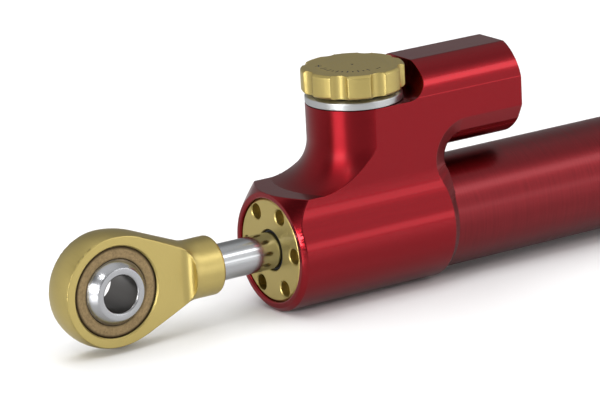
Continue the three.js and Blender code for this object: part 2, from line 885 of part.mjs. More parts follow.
function pistonBand() {
  const middle = pistonFront + (pistonLength + seatGap) / 2;
  const bore = pistonRadius - bandDepth + slideFit;
  const radius = cylinderBoreRadius - slideFit;
  return sleeve('x', wideSides, bore, radius, middle - bandWidth / 2, middle + bandWidth / 2);
}

function pistonWasher() {
  const end = washerFront + washerThickness;
  return sleeve('x', roundSides, stubRadius + slideFit, washerRadius, washerFront, end);
}

function pistonNut() {
  const cornerRadius = nutAcrossFlats / Math.sqrt(3);
  const hex = hexBar('x', cornerRadius, nutFront, nutFront + nutLength);
  const bore = bar('x', roundSides, stubRadius + slideFit, nutFront - overrun,
    nutFront + nutLength + overrun);
  return cut(hex, bore);
}

// Half section of the eye and its neck, with the eye's centre at zero and the neck towards +X
function rodEndSection() {
  const tilt = THREE.MathUtils.degToRad(coneAngle);
  const sphere = arcPoints(0, 0, eyeRadius, 180, 90, eyeSteps);
  const shoulder = arcPoints(0, eyeRadius - shoulderRadius, shoulderRadius, 90, 90 - coneAngle,
    filletSteps);
  const coneStart = shoulder[shoulder.length - 1];
  const sharpEnd = coneStart[0] + (coneStart[1] - neckRadius) / gradient(coneAngle);
  const tangent = coneFilletRadius * Math.tan(tilt / 2);
  const filletX = sharpEnd + tangent;
  const fillet = arcPoints(filletX, neckRadius + coneFilletRadius, coneFilletRadius,
    270 - coneAngle, 270, filletSteps);
  const edge = arcPoints(neckToEye - neckEdgeRadius, neckRadius - neckEdgeRadius, neckEdgeRadius,
    90, 0, filletSteps);
  return [...sphere, ...shoulder.slice(1), ...fillet, ...edge, [neckToEye, 0]];
}

// Cutter for one side flat of the eye, which runs out towards the neck in a fillet
function flatCutter(side) {
  const start = -eyeRadius - overrun;
  const depth = flatFilletRadius;
  const outline = new THREE.Shape();
  outline.moveTo(start, eyeHalfWidth);
  outline.lineTo(flatRunOut, eyeHalfWidth);
  outline.absarc(flatRunOut, eyeHalfWidth + depth, depth, -Math.PI / 2, 0, false);
  outline.lineTo(flatRunOut + depth, eyeRadius + overrun);
  outline.lineTo(start, eyeRadius + overrun);
  const height = 2 * (eyeRadius + overrun);
  const geometry = new THREE.ExtrudeGeometry(outline, {
    depth: height,
    bevelEnabled: false,
    curveSegments: flatCurveSegments,
  });
  geometry.translate(0, 0, -height / 2);
  return side > 0 ? geometry : geometry.rotateX(Math.PI);
}

function rodEnd() {
  const body = turned('x', wideSides, rodEndSection());
  const mouth = raceSeatRadius + raceSeatChamfer;
  const seat = turned('y', wideSides, [
    [-eyeHalfWidth - overrun, 0],
    [-eyeHalfWidth - overrun, mouth],
    [-eyeHalfWidth, mouth],
    [raceSeatChamfer - eyeHalfWidth, raceSeatRadius],
    [eyeHalfWidth - raceSeatChamfer, raceSeatRadius],
    [eyeHalfWidth, mouth],
    [eyeHalfWidth + overrun, mouth],
    [eyeHalfWidth + overrun, 0],
  ]);
  const socketBottom = neckToEye - threadDepth - socketBottomGap;
  const socket = bar('x', roundSides, rodBoreRadius, socketBottom, neckToEye + overrun);
  return cut(body, flatCutter(1), flatCutter(-1), seat, socket);
}

function bearingRace() {
  const hollow = ballRadius + slideFit;
  const edge = THREE.MathUtils.radToDeg(Math.asin(raceHalfWidth / hollow));
  const inner = arcPoints(0, 0, hollow, 90 - edge, 90 + edge, raceSteps);
  return turned('y', wideSides, [
    [-raceHalfWidth, raceRadius],
    [raceHalfWidth, raceRadius],
    ...inner,
  ]);
}

function bearingBall() {
  const edge = THREE.MathUtils.radToDeg(Math.asin(ballHalfWidth / ballRadius));
  const outer = arcPoints(0, 0, ballRadius, 90 - edge, 90 + edge, ballSteps);
  return turned('y', wideSides, [
    ...outer,
    [-ballHalfWidth, ballBoreRadius + ballBoreChamfer],
    [ballBoreChamfer - ballHalfWidth, ballBoreRadius],
    [ballHalfWidth - ballBoreChamfer, ballBoreRadius],
    [ballHalfWidth, ballBoreRadius + ballBoreChamfer],
  ]);
}

// Key slot or key: a narrow block beside the spindle's axis, towards +X
function keyBlock(reach, width, bottom, top) {
  const block = new THREE.BoxGeometry(reach, width, top - bottom);
  return block.translate(reach / 2, 0, (bottom + top) / 2);
}

function valveCartridge() {
  const bottom = cartridgeFloor + cartridgeTip;
  const ringPlace = flangeBottom - cartridgeRingDrop;
  const stepHeight = flangeTop - cartridgeNeckLength;
  const body = turned('z', wideSides, [
    [bottom, guideRadius],
    [bottom, cartridgeRadius],
    ...groove(cartridgeRadius, cartridgeRingThickness, cartridgeRingGrooveWidth, ringPlace),
    [flangeBottom, cartridgeRadius],
    [flangeBottom, towerRadius],
    [flangeTop - flangeChamferHeight, towerRadius],
    [flangeTop, towerRadius - flangeChamferWidth],
    [flangeTop, spindleRadius + slideFit],
    [stepHeight, spindleRadius + slideFit],
    [stepHeight, guideRadius],
  ]);
  const slot = keyBlock(guideRadius + keyHeight, keyWidth, bottom - overrun, collarTop);
  const detentBore = bar('z', holeSides, detentBallRadius + slideFit, flangeBottom - overrun,
    flangeTop + overrun);
  return cut(body, slot.rotateZ(Math.PI / 2), detentBore.translate(detentPitchRadius, 0, 0));
}

function spindle() {
  const ringPlace = flangeTop - spindleRingDrop;
  return turned('z', roundSides, [
    [collarBottom - stemLength, 0],
    [collarBottom - stemLength, stemRadius],
    [collarBottom, stemRadius],
    [collarBottom, collarRadius],
    [collarTop, collarRadius],
    [collarTop, spindleRadius],
    ...groove(spindleRadius, spindleRingThickness, spindleRingGrooveWidth, ringPlace),
    [spindleTop, spindleRadius],
    [spindleTop, 0],
  ]);
}

function needle() {
  const radius = guideRadius - slideFit;
  const body = turned('z', roundSides, [
    [needleTip, 0],
    [needleTip, needleTipRadius],
    [needleShankBottom, needleShankRadius - slideFit],
    [needleShankBottom, needleShankRadius],
    [needleGuideBottom, needleShankRadius],
    [needleGuideBottom, radius],
    [needleTop, radius],
    [needleTop, stemRadius + slideFit],
    [needleTop - needleBoreLength, stemRadius + slideFit],
    [needleTop - needleBoreLength, 0],
  ]);
  const reach = guideRadius + keyHeight - seatGap;
  const key = keyBlock(reach, keyWidth - seatGap, needleGuideBottom, needleTop).rotateZ(Math.PI / 2);
  const space = bar('z', roundSides, radius - slideFit, needleGuideBottom - overrun,
    needleTop + overrun);
  return join(body, cut(key, space));
}

// Outline of the knob: crests on a circle, with shallow round flutes sunk in it
function knobOutline() {
  const pitch = (2 * Math.PI) / fluteCount;
  const middleRadius = knobRadius + fluteRadius - fluteDepth;
  const squares = knobRadius ** 2 + middleRadius ** 2 - fluteRadius ** 2;
  const halfFlute = Math.acos(squares / (2 * knobRadius * middleRadius));
  const opening = Math.asin((knobRadius * Math.sin(halfFlute)) / fluteRadius);
  const outline = new THREE.Shape();
  for (let i = 0; i < fluteCount; i++) {
    const middle = THREE.MathUtils.degToRad(fluteTurn) + i * pitch;
    const inwards = middle + Math.PI;
    const x = middleRadius * Math.cos(middle);
    const y = middleRadius * Math.sin(middle);
    outline.absarc(x, y, fluteRadius, inwards + opening, inwards - opening, true);
    outline.absarc(0, 0, knobRadius, middle + halfFlute, middle + pitch - halfFlute, false);
  }
  return outline;
}

// Shallow six-sided cones in the knob's underside, one for each click
function dimples() {
  const cones = [];
  for (let i = 0; i < dimpleCount; i++) {
    const angle = (2 * Math.PI * i) / dimpleCount;
    const slope = dimpleRadius / dimpleDepth;
    const cone = turned('z', dimpleSides, [
      [knobBottom - overrun, 0],
      [knobBottom - overrun, dimpleRadius + overrun * slope],
      [knobBottom + dimpleDepth, 0],
    ]);
    cones.push(cone.translate(detentPitchRadius, 0, 0).rotateZ(angle));
  }
  return cones;
}

function knob() {
  const body = new THREE.ExtrudeGeometry(knobOutline(), {
    depth: knobHeight - 2 * knobChamfer,
    curveSegments: knobCurveSegments,
    bevelThickness: knobChamfer,
    bevelSize: knobChamfer,
    bevelOffset: -knobChamfer,
    bevelSegments: 1,
  }).translate(0, 0, knobBottom + knobChamfer);
  const boreTop = spindleTop + stopGap;
  const bore = bar('z', roundSides, spindleRadius + slideFit, knobBottom - overrun, boreTop);
  const grubBore = bar('y', holeSides, grubRadius + slideFit, 0, knobRadius + overrun);
  grubBore.rotateZ(THREE.MathUtils.degToRad(fluteTurn + 90));
  return cut(body, bore, grubBore.translate(0, 0, grubHeight()), ...dimples());
}

function grubHeight() {
  return knobBottom + knobHeight * grubHeightShare;
}

function knobGrubScrew() {
  const inner = spindleRadius + seatGap;
  const outer = inner + grubLength;
  const body = bar('y', holeSides, grubRadius, inner, outer);
  const socket = hexBar('y', grubHexRadius, outer - grubHexDepth, outer + overrun);
  const screw = cut(body, socket).rotateZ(THREE.MathUtils.degToRad(fluteTurn + 90));
  return screw.translate(0, 0, grubHeight());
}

function detentBall() {
  const centre = knobBottom - slideFit - detentBallRadius;
  const outer = arcPoints(centre, 0, detentBallRadius, 180, 0, 6);
  return turned('z', holeSides, outer).translate(detentPitchRadius, 0, 0);
}

// Route of the detent spring's wire
class Helix extends THREE.Curve {
  constructor(radius, bottom, top, turns) {
    super();
    Object.assign(this, { radius, bottom, top, turns });
  }

  getPoint(t, target = new THREE.Vector3()) {
    const angle = 2 * Math.PI * this.turns * t;
    const height = THREE.MathUtils.lerp(this.bottom, this.top, t);
    return target.set(this.radius * Math.cos(angle), this.radius * Math.sin(angle), height);
  }
}

function detentSpring() {
  const bottom = towerTop - detentPocketDepth + seatGap + springWire;
  const top = knobBottom - slideFit - 2 * detentBallRadius - springWire;
  const route = new Helix(detentBallRadius - springWire, bottom, top, springTurns);
  const section = new THREE.Shape();
  section.absarc(0, 0, springWire, 0, 2 * Math.PI, false);
  const geometry = new THREE.ExtrudeGeometry(section, {
    steps: springTurns * springStepsPerTurn,
    extrudePath: route,
    curveSegments: springSides / 2,
    bevelEnabled: false,
  });
  return geometry.translate(detentPitchRadius, 0, 0);
}

function reservoirPiston() {
  const radius = reservoirRadius - slideFit;
  const middle = (floatFront + floatRear) / 2;
  return turned('x', roundSides, [
    [floatFront, 0],
    [floatFront, radius],
    ...groove(radius, floatRingThickness, floatRingGrooveWidth, middle),
    [floatRear, radius],
    [floatRear, floatDishRadius],
    [floatRear - floatDishDepth, floatDishRadius],
    [floatRear - floatDishDepth, 0],
  ]);
}

function reservoirPlug() {
  const radius = reservoirRadius - slideFit;
  const ringPlace = plugFront + plugRingGrooveWidth;
  const screwSeat = plugFace - chargeScrewLength - 2 * seatGap;
  const body = turned('x', wideSides, [
    [plugFront, gasHoleRadius],
    [plugFront, radius],
    ...groove(radius, plugRingThickness, plugRingGrooveWidth, ringPlace),
    [plugFace - plugChamfer, radius],
    [plugFace, radius - plugChamfer],
    [plugFace, chargeScrewRadius + slideFit],
    [screwSeat, chargeScrewRadius + slideFit],
    [screwSeat, gasHoleRadius],
  ]);
  const holes = barsAround('x', holeSides, plugPinRadius, plugFace - plugPinDepth, plugFace + overrun,
    plugPinPitchRadius, plugPinCount, 0);
  return cut(body, ...holes);
}

function chargeScrew() {
  const end = plugFace - seatGap;
  const start = end - chargeScrewLength;
  const body = bar('x', smallSides, chargeScrewRadius, start, end);
  return cut(body, hexBar('x', chargeScrewHexRadius, end - chargeScrewHexDepth, end + overrun));
}

// The whole damper, in nested groups that follow its axes
const damper = new THREE.Group();

const cylinder = new THREE.Group();
add(cylinder, 'housing', housing(), redGloss);
add(cylinder, 'outer_tube', outerTube(), redSatin);
add(cylinder, 'inner_cylinder', innerCylinder(), steel);
add(cylinder, 'gland_cap', glandCap(), gold);
add(cylinder, 'gland_o_ring', oRing('x', capRadius, capRingThickness, glandRingPlace), rubber);
add(cylinder, 'rod_wiper', rodWiper(), rubber);
add(cylinder, 'guide_bush', guideBush(), bronze);
add(cylinder, 'rod_seal', rodSeal(), rubber);
add(cylinder, 'end_cap', endCap(), gold);
const endRing = oRing('x', tubeBoreRadius - slideFit, capRingThickness, endHeadFace + endRingPlace);
add(cylinder, 'end_cap_o_ring', endRing, rubber);

const rodGroup = new THREE.Group();
add(rodGroup, 'piston_rod', pistonRod(), chrome);
add(rodGroup, 'piston', piston(), aluminium);
add(rodGroup, 'piston_band', pistonBand(), polymer);
add(rodGroup, 'piston_washer', pistonWasher(), steel);
add(rodGroup, 'piston_nut', pistonNut(), steel);

const eye = new THREE.Group();
eye.position.x = eyeX;
add(eye, 'rod_end', rodEnd(), gold);
add(eye, 'bearing_race', bearingRace(), bronze);
add(eye, 'bearing_ball', bearingBall(), chrome);
rodGroup.add(eye);

const valve = new THREE.Group();
valve.position.x = towerX;
add(valve, 'valve_cartridge', valveCartridge(), silver);
const cartridgeRingPlace = flangeBottom - cartridgeRingDrop;
const cartridgeRing = oRing('z', cartridgeRadius, cartridgeRingThickness, cartridgeRingPlace);
add(valve, 'cartridge_o_ring', cartridgeRing, rubber);
add(valve, 'spindle', spindle(), steel);
const spindleRing = oRing('z', spindleRadius, spindleRingThickness, flangeTop - spindleRingDrop);
add(valve, 'spindle_o_ring', spindleRing, rubber);
add(valve, 'needle', needle(), brass);
add(valve, 'knob', knob(), gold);
add(valve, 'knob_grub_screw', knobGrubScrew(), steel);
add(valve, 'detent_ball', detentBall(), chrome);
add(valve, 'detent_spring', detentSpring(), steel);

const reservoir = new THREE.Group();
reservoir.position.z = barrelHeight;
add(reservoir, 'reservoir_piston', reservoirPiston(), aluminium);
const floatMiddle = (floatFront + floatRear) / 2;
const floatRing = oRing('x', reservoirRadius - slideFit, floatRingThickness, floatMiddle);
add(reservoir, 'reservoir_piston_o_ring', floatRing, rubber);
add(reservoir, 'reservoir_plug', reservoirPlug(), gold);
const plugRingPlace = plugFront + plugRingGrooveWidth;
const plugRing = oRing('x', reservoirRadius - slideFit, plugRingThickness, plugRingPlace);
add(reservoir, 'reservoir_plug_o_ring', plugRing, rubber);
add(reservoir, 'charge_screw', chargeScrew(), steel);

const assembly = new THREE.Group();
assembly.add(cylinder, rodGroup, valve, reservoir);
assembly.position.set(-(eyeX - eyeRadius + tubeEnd) / 2, 0, bodyRadius);
damper.add(assembly);

export default damper;
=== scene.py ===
import json
import math

import bmesh
import bpy
from mathutils import Matrix, Vector

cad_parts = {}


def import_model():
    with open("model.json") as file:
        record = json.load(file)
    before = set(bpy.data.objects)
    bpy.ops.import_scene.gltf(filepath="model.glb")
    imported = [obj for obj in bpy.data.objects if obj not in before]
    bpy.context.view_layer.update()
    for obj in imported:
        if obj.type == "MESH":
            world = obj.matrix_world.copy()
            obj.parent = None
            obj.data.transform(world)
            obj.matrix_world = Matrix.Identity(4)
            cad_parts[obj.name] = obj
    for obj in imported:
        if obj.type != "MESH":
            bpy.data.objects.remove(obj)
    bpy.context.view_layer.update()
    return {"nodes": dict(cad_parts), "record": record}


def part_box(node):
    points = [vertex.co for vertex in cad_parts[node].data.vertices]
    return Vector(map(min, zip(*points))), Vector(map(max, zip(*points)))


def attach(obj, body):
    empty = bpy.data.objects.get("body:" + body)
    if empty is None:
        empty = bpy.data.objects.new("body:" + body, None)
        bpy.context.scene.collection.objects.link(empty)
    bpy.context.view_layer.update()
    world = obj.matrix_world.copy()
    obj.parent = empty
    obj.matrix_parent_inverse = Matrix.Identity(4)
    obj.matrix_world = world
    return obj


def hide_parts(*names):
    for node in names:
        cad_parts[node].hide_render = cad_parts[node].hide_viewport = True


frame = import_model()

# Motorcycle steering damper: fine surfaces and finishes over the frame's pieces.
# Lengths are millimetres and angles degrees. While a piece is made, X runs along the rod from the
# front cap's face, Z is up and the near side is towards -Y.
MM = 0.001

# Facets of the fine meshes: sides of turned pieces and steps of arcs
WIDE_SIDES = 160
ROUND_SIDES = 96
HOLE_SIDES = 48
DIMPLE_SIDES = 16
HEXAGON = 6
ARC_STEPS = 20
EDGE_STEPS = 3
FLANK_STEPS = 12
BELLY_STEPS = 120
FLARE_STEPS = 28
SLOT_STEPS = 60
BLEND_STEPS = 24
BARREL_STEPS = 80
UNDER_STEPS = 60
SPHERE_STEPS = 60
SHOULDER_STEPS = 16
NECK_STEPS = 12
NECK_EDGE_STEPS = 8
BALL_STEPS = 40

# Edges: those over the sharp angle are rounded, and those over the smooth angle stay creased
EDGE = 0.15
FINE_EDGE = 0.08
SHARP_ANGLE = 25
SMOOTH_ANGLE = 35
FLAT_ANGLE = 0.2
BEVEL_SEGMENTS = 2
WELD = 0.002

# How far a cutter reaches beyond what it cuts
OVERRUN = 1.0

record = frame["record"]
BODY_OF = {n: body for body, nodes in record["behaviour"]["bodies"].items() for n in nodes}
SLOT_OF = {row["node"]: row["material_slot"] for row in record["subparts"]}


def frame_origin():
    """The point of the tube's axis, in the frame, that lies in the front cap's face."""
    cap_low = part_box("gland_cap")[0]
    tube_low, tube_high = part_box("outer_tube")
    return Vector((cap_low.x, 0, (tube_low.z + tube_high.z) / 2))


ORIGIN = frame_origin()


def span(node):
    """Lowest and highest corner of a node, in millimetres from the front cap's face."""
    low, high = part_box(node)
    return (low - ORIGIN) / MM, (high - ORIGIN) / MM


# Main sizes, taken from the frame
BODY_LOW, BODY_HIGH = span("housing")
TUBE_LOW, TUBE_HIGH = span("outer_tube")
CAP_HIGH = span("gland_cap")[1]
ROD_LOW, ROD_HIGH = span("piston_rod")
WIPER_LOW, WIPER_HIGH = span("rod_wiper")
EYE_LOW, EYE_HIGH = span("rod_end")
RACE_HIGH = span("bearing_race")[1]
BALL_LOW, BALL_HIGH = span("bearing_ball")
VALVE_LOW, VALVE_HIGH = span("valve_cartridge")
KNOB_LOW, KNOB_HIGH = span("knob")
GRUB_LOW, GRUB_HIGH = span("knob_grub_screw")
PLUG_LOW, PLUG_HIGH = span("reservoir_plug")
SCREW_LOW, SCREW_HIGH = span("charge_screw")
END_LOW, END_HIGH = span("end_cap")
BODY_RADIUS = -BODY_LOW.z
TUBE_RADIUS = TUBE_HIGH.z
CAP_RADIUS = CAP_HIGH.z
ROD_RADIUS = ROD_HIGH.z
TOWER_X = (VALVE_LOW.x + VALVE_HIGH.x) / 2
TOWER_RADIUS = (VALVE_HIGH.x - VALVE_LOW.x) / 2
EYE_X = (BALL_LOW.x + BALL_HIGH.x) / 2
EYE_RADIUS = EYE_X - EYE_LOW.x
RACE_RADIUS = RACE_HIGH.z
BALL_RADIUS = BALL_HIGH.z
BARREL_HEIGHT = (PLUG_LOW.z + PLUG_HIGH.z) / 2
PLUG_RADIUS = (PLUG_HIGH.z - PLUG_LOW.z) / 2

# Middles that pieces are turned round: the rod's axis, the eye, the tower and the barrel
AXIS = (0, 0, 0)
EYE = (EYE_X, 0, 0)
TOWER = (TOWER_X, 0, 0)
BARREL = (0, 0, BARREL_HEIGHT)

# Gaps that the frame's pieces keep, round a piece and at its end
SLIDE_FIT = 0.05
SEAT_GAP = 0.1

# Outer tube
TUBE_BORE = TUBE_RADIUS - 1.27
TUBE_EDGE = 0.25
TUBE_SEAT = TUBE_RADIUS + SLIDE_FIT

# Gland cap and the wiper in it
CAP_HEAD = 8.9
CAP_CHAMFER = 0.45
GLAND_HOLE = ROD_RADIUS + 0.5
GLAND_CHAMFER = 0.2
SPIGOT_RADIUS = 8.9
WIPER_FRONT = 1.1
WIPER_SEAT = WIPER_HIGH.z + SLIDE_FIT
BUSH_SEAT = ROD_RADIUS + 1.05
SEAL_SEAT = ROD_RADIUS + 3.0
GLAND_RIB = 0.4
BUSH_LENGTH = 6.6

# Pin holes of both caps
PIN_COUNT = 6
PIN_RADIUS = 1.725
PIN_INSET = 2.26
PIN_DEPTH = 3.5
PIN_TURN = 57.26
PIN_CHAMFER = 0.22

# Rear cap, reservoir plug and charge screw
END_SPIGOT = 3.0
PLUG_CHAMFER = 0.4
PLUG_PIN_COUNT = 2
PLUG_PIN_RADIUS = 1.1
PLUG_PIN_PITCH = 5.8
PLUG_PIN_DEPTH = 1.6
SCREW_CHAMFER = 0.1
SOCKET_RADIUS = 0.9
SOCKET_DEPTH = 1.2

# Piston rod
ROD_CHAMFER = 0.5
ROD_SHOULDER = 73.4
STUB_RADIUS = ROD_RADIUS - 1.05

# Milled body
WEB_HALF = 10.5
WEB_FILLET = 18.0
FOOT_HEIGHT = BODY_RADIUS - 0.94
TAIL = 41.2
TAIL_CHAMFER = 2.1
TAIL_DEPTH = 1.29
TAIL_EASE = 0.1
RIM_RADIUS = BODY_RADIUS - 0.94
CONE_WIDTH = 4.0
RIM_CHAMFER = 0.25
OIL_BORE = CAP_RADIUS - 0.4
SOCKET_FRONT = TUBE_LOW.x - SEAT_GAP
FLARE_RADIUS = 8.7
FLARE_SINK = 0.02
FLARE_TOP = FOOT_HEIGHT - FLARE_SINK + FLARE_RADIUS
TOWER_TOP = VALVE_HIGH.z - 2.2
TOWER_FACE = 0.05
VALVE_BORE_BOTTOM = 20.0
BARREL_RADIUS = 10.96
FACET_END = -35.7
POCKET_WALL = TOWER_X + TOWER_RADIUS + 1.7
POCKET_FILLET = 5.0
SPOT_FACE = TOWER_RADIUS + 0.25
SLOT_X = TAIL + 4.26
SLOT_HEIGHT = TUBE_RADIUS + 2.05
SLOT_RADIUS = 8.64
FACET_TOP = SLOT_HEIGHT + SLOT_RADIUS
SLOT_BLEND = 9.0
SLOT_FLARE_DEPTH = 1.8
SLOT_FLARE_WIDTH = 3.45
RESERVOIR_FRONT = POCKET_WALL + 1.75
RESERVOIR_RADIUS = PLUG_RADIUS + SLIDE_FIT
BODY_EDGE = 0.16
BODY_SHARP_ANGLE = 13
BODY_WELD = 0.12

# Rod end
NECK_RADIUS = ROD_RADIUS + 2.4
NECK_EDGE = 0.8
SHOULDER_RADIUS = 18.7
CONE_ANGLE = 22.0
CONE_FILLET = 8.0
EYE_HALF = 3.9
FLAT_RUN_OUT = EYE_RADIUS + 3.27
FLAT_FILLET = 2.3
RACE_SEAT = RACE_RADIUS + SLIDE_FIT
SEAT_CHAMFER = 0.3
ROD_SOCKET_BOTTOM = 17.06
EYE_EDGE = 0.2

# Bearing
RACE_EDGE = 0.28
BALL_HALF = BALL_HIGH.y
BALL_BORE = 4.0
BALL_EDGE = 0.1
BORE_CHAMFER = 0.33

# Valve cartridge and knob
CARTRIDGE_RADIUS = 5.95
CARTRIDGE_EDGE = 0.18
FLANGE_HEIGHT = 2.1
FLANGE_CHAMFER = (0.6, 1.2)
CARTRIDGE_NECK = 3.1
SPINDLE_BORE = 2.55
GUIDE_BORE = 3.7
DETENT_PITCH = 7.5
DETENT_BORE = 0.85
KNOB_RADIUS = TOWER_RADIUS + 0.64
KNOB_CHAMFER = 0.5
KNOB_EDGE = 0.18
KNOB_ROOF = 1.73
FLUTE_COUNT = 8
FLUTE_RADIUS = 2.35
FLUTE_DEPTH = 1.1
FLUTE_TURN = -94.5
GRUB_BORE = 1.5
DIMPLE_COUNT = 24
DIMPLE_RADIUS = 0.78
DIMPLE_DEPTH = 0.4
MARK_DEPTH = 0.1
MARK_WIDTH = 0.3
MARK_PITCH = 6.6
SIGN_PITCH = 7.2
SIGN_SIZE = 1.5
PLUS_TURN = 147.0
MINUS_TURN = 287.0
TICK_TURNS = range(167, 277, 10)
TICK_LENGTHS = (1.4, 0.8)
CENTRE_MARK = 0.3


def arc(along, radius, size, start, end, steps=ARC_STEPS):
    """Points of an arc as (along, radius), its angles counted from the axis direction."""
    points = []
    for i in range(steps + 1):
        angle = math.radians(start + (end - start) * i / steps)
        points.append((along + size * math.cos(angle), radius + size * math.sin(angle)))
    return points


def rounded(outline, size=EDGE):
    """The outline with its sharp corners off the axis rounded."""
    result = []
    count = len(outline)
    for i, point in enumerate(outline):
        here = Vector(point)
        to_before = Vector(outline[i - 1]) - here
        to_after = Vector(outline[(i + 1) % count]) - here
        turn = math.pi - to_before.angle(to_after)
        if point[1] <= 0 or turn < math.radians(SHARP_ANGLE):
            result.append(point)
            continue
        reach = min(size, to_before.length / 3, to_after.length / 3)
        start = here + to_before.normalized() * reach
        end = here + to_after.normalized() * reach
        for step in range(EDGE_STEPS + 1):
            share = step / EDGE_STEPS
            result.append(tuple(start.lerp(here, share).lerp(here.lerp(end, share), share)))
    return result


def rectangle(left, right, low, high):
    """Corners of a rectangle, in order."""
    return [(left, low), (right, low), (right, high), (left, high)]


def on_axis(axis, along, across, up):
    """A point given along and across an axis: X, Y or Z."""
    if axis == "x":
        return Vector((along, across, up))
    if axis == "y":
        return Vector((across, along, up))
    return Vector((across, up, along))


def as_piece(name, made):
    """Turns a bmesh into an object of the scene, its faces pointing out."""
    bmesh.ops.recalc_face_normals(made, faces=made.faces[:])
    mesh = bpy.data.meshes.new(name)
    made.to_mesh(mesh)
    made.free()
    piece = bpy.data.objects.new(name, mesh)
    bpy.context.scene.collection.objects.link(piece)
    return piece


def join_rings(made, first, second):
    """Faces between two rings of a turned mesh, either of which may be one point."""
    count = max(len(first), len(second))
    for i in range(count):
        j = (i + 1) % count
        corners = [first[i % len(first)], first[j % len(first)]]
        corners += [second[j % len(second)], second[i % len(second)]]
        unique = list(dict.fromkeys(corners))
        if len(unique) > 2:
            made.faces.new(unique)


def turned(name, axis, outline, sides=WIDE_SIDES, centre=AXIS):
    """A turned mesh round an axis through centre, from (along, radius) points."""
    made = bmesh.new()
    rings = []
    for along, radius in outline:
        ring = []
        for i in range(sides if radius > 0 else 1):
            angle = 2 * math.pi * i / sides
            across, up = radius * math.cos(angle), radius * math.sin(angle)
            ring.append(made.verts.new(on_axis(axis, along, across, up) + Vector(centre)))
        rings.append(ring)
    for first, second in zip(rings, rings[1:]):
        join_rings(made, first, second)
    if len(rings[0]) > 1:
        join_rings(made, rings[-1], rings[0])
    return as_piece(name, made)


def bar(axis, radius, start, end, centre=AXIS, sides=HOLE_SIDES):
    """A plain round bar, used to cut a bore."""
    outline = [(start, 0), (start, radius), (end, radius), (end, 0)]
    return turned("bar", axis, outline, sides, centre)


def extruded(name, axis, outline, start, end):
    """A flat outline of (across, up) points, extruded between two places on an axis."""
    made = bmesh.new()
    ends = []
    for along in (start, end):
        ends.append([made.verts.new(on_axis(axis, along, *point)) for point in outline])
        made.faces.new(ends[-1])
    join_rings(made, *ends)
    return as_piece(name, made)


def settle(piece):
    """Applies the modifiers of a piece."""
    bpy.context.view_layer.update()
    graph = bpy.context.evaluated_depsgraph_get()
    mesh = bpy.data.meshes.new_from_object(piece.evaluated_get(graph))
    piece.modifiers.clear()
    piece.data = mesh


def combined(operation, piece, *tools):
    """The piece after each tool is cut from it, joined to it or kept in common with it."""
    for tool in tools:
        change = piece.modifiers.new("change", "BOOLEAN")
        change.operation = operation
        change.solver = "MANIFOLD"
        change.object = tool
    settle(piece)
    for tool in tools:
        bpy.data.objects.remove(tool)
    return piece


def cut(piece, *tools):
    return combined("DIFFERENCE", piece, *tools)


def join(piece, *tools):
    return combined("UNION", piece, *tools)


def common(piece, *tools):
    return combined("INTERSECT", piece, *tools)


def softened(piece, width, angle=SHARP_ANGLE, weld=WELD):
    """The piece with close vertices welded and its edges over an angle rounded narrowly."""
    made = bmesh.new()
    made.from_mesh(piece.data)
    bmesh.ops.remove_doubles(made, verts=made.verts[:], dist=weld)
    bmesh.ops.dissolve_limit(
        made, angle_limit=math.radians(FLAT_ANGLE), verts=made.verts[:], edges=made.edges[:]
    )
    made.to_mesh(piece.data)
    made.free()
    bevel = piece.modifiers.new("edges", "BEVEL")
    bevel.width = width
    bevel.segments = BEVEL_SEGMENTS
    bevel.limit_method = "ANGLE"
    bevel.angle_limit = math.radians(angle)
    bevel.use_clamp_overlap = False
    settle(piece)
    return piece


def hole_cutter(axis, radius, chamfer, mouth, bottom, centre):
    """A round hole's cutter, with a chamfer at its mouth."""
    out = math.copysign(OVERRUN, mouth - bottom)
    inner = mouth - math.copysign(chamfer, mouth - bottom)
    outline = [
        (mouth + out, 0),
        (mouth + out, radius + chamfer + OVERRUN),
        (inner, radius),
        (bottom, radius),
        (bottom, 0),
    ]
    return turned("hole", axis, outline, HOLE_SIDES, centre)


def pin_holes(count, pitch, turn, mouth, bottom, radius=PIN_RADIUS, height=0.0):
    """Cutters of the pin-spanner holes in the face of a cap."""
    holes = []
    for i in range(count):
        angle = math.radians(turn + 360 * i / count)
        centre = (0, pitch * math.cos(angle), height + pitch * math.sin(angle))
        holes.append(hole_cutter("x", radius, PIN_CHAMFER, mouth, bottom, centre))
    return holes


def flank_fillet():
    """Middle, in Y and Z, of the hollow fillet between the belly and the near or far side."""
    fillet_y = WEB_HALF + WEB_FILLET
    return fillet_y, math.sqrt((BODY_RADIUS + WEB_FILLET) ** 2 - fillet_y**2)


def flank_width(height):
    """Half width of the milled body at a height above the belly's middle."""
    fillet_y, fillet_z = flank_fillet()
    below = max(0, fillet_z - height)
    return fillet_y - math.sqrt(WEB_FILLET**2 - below**2)


def body_outline():
    """Section of the milled body: round belly, hollow flanks and upright sides."""
    fillet_y, fillet_z = flank_fillet()
    tangent = math.degrees(math.atan2(fillet_z, fillet_y))
    left = arc(-fillet_y, fillet_z, WEB_FILLET, 0, -tangent, FLANK_STEPS)
    belly = arc(0, 0, BODY_RADIUS, 180 - tangent, 360 + tangent, BELLY_STEPS)
    right = arc(fillet_y, fillet_z, WEB_FILLET, 180 + tangent, 180, FLANK_STEPS)
    top = [(WEB_HALF, BODY_HIGH.z), (-WEB_HALF, BODY_HIGH.z)]
    return left + belly[1:-1] + right + top


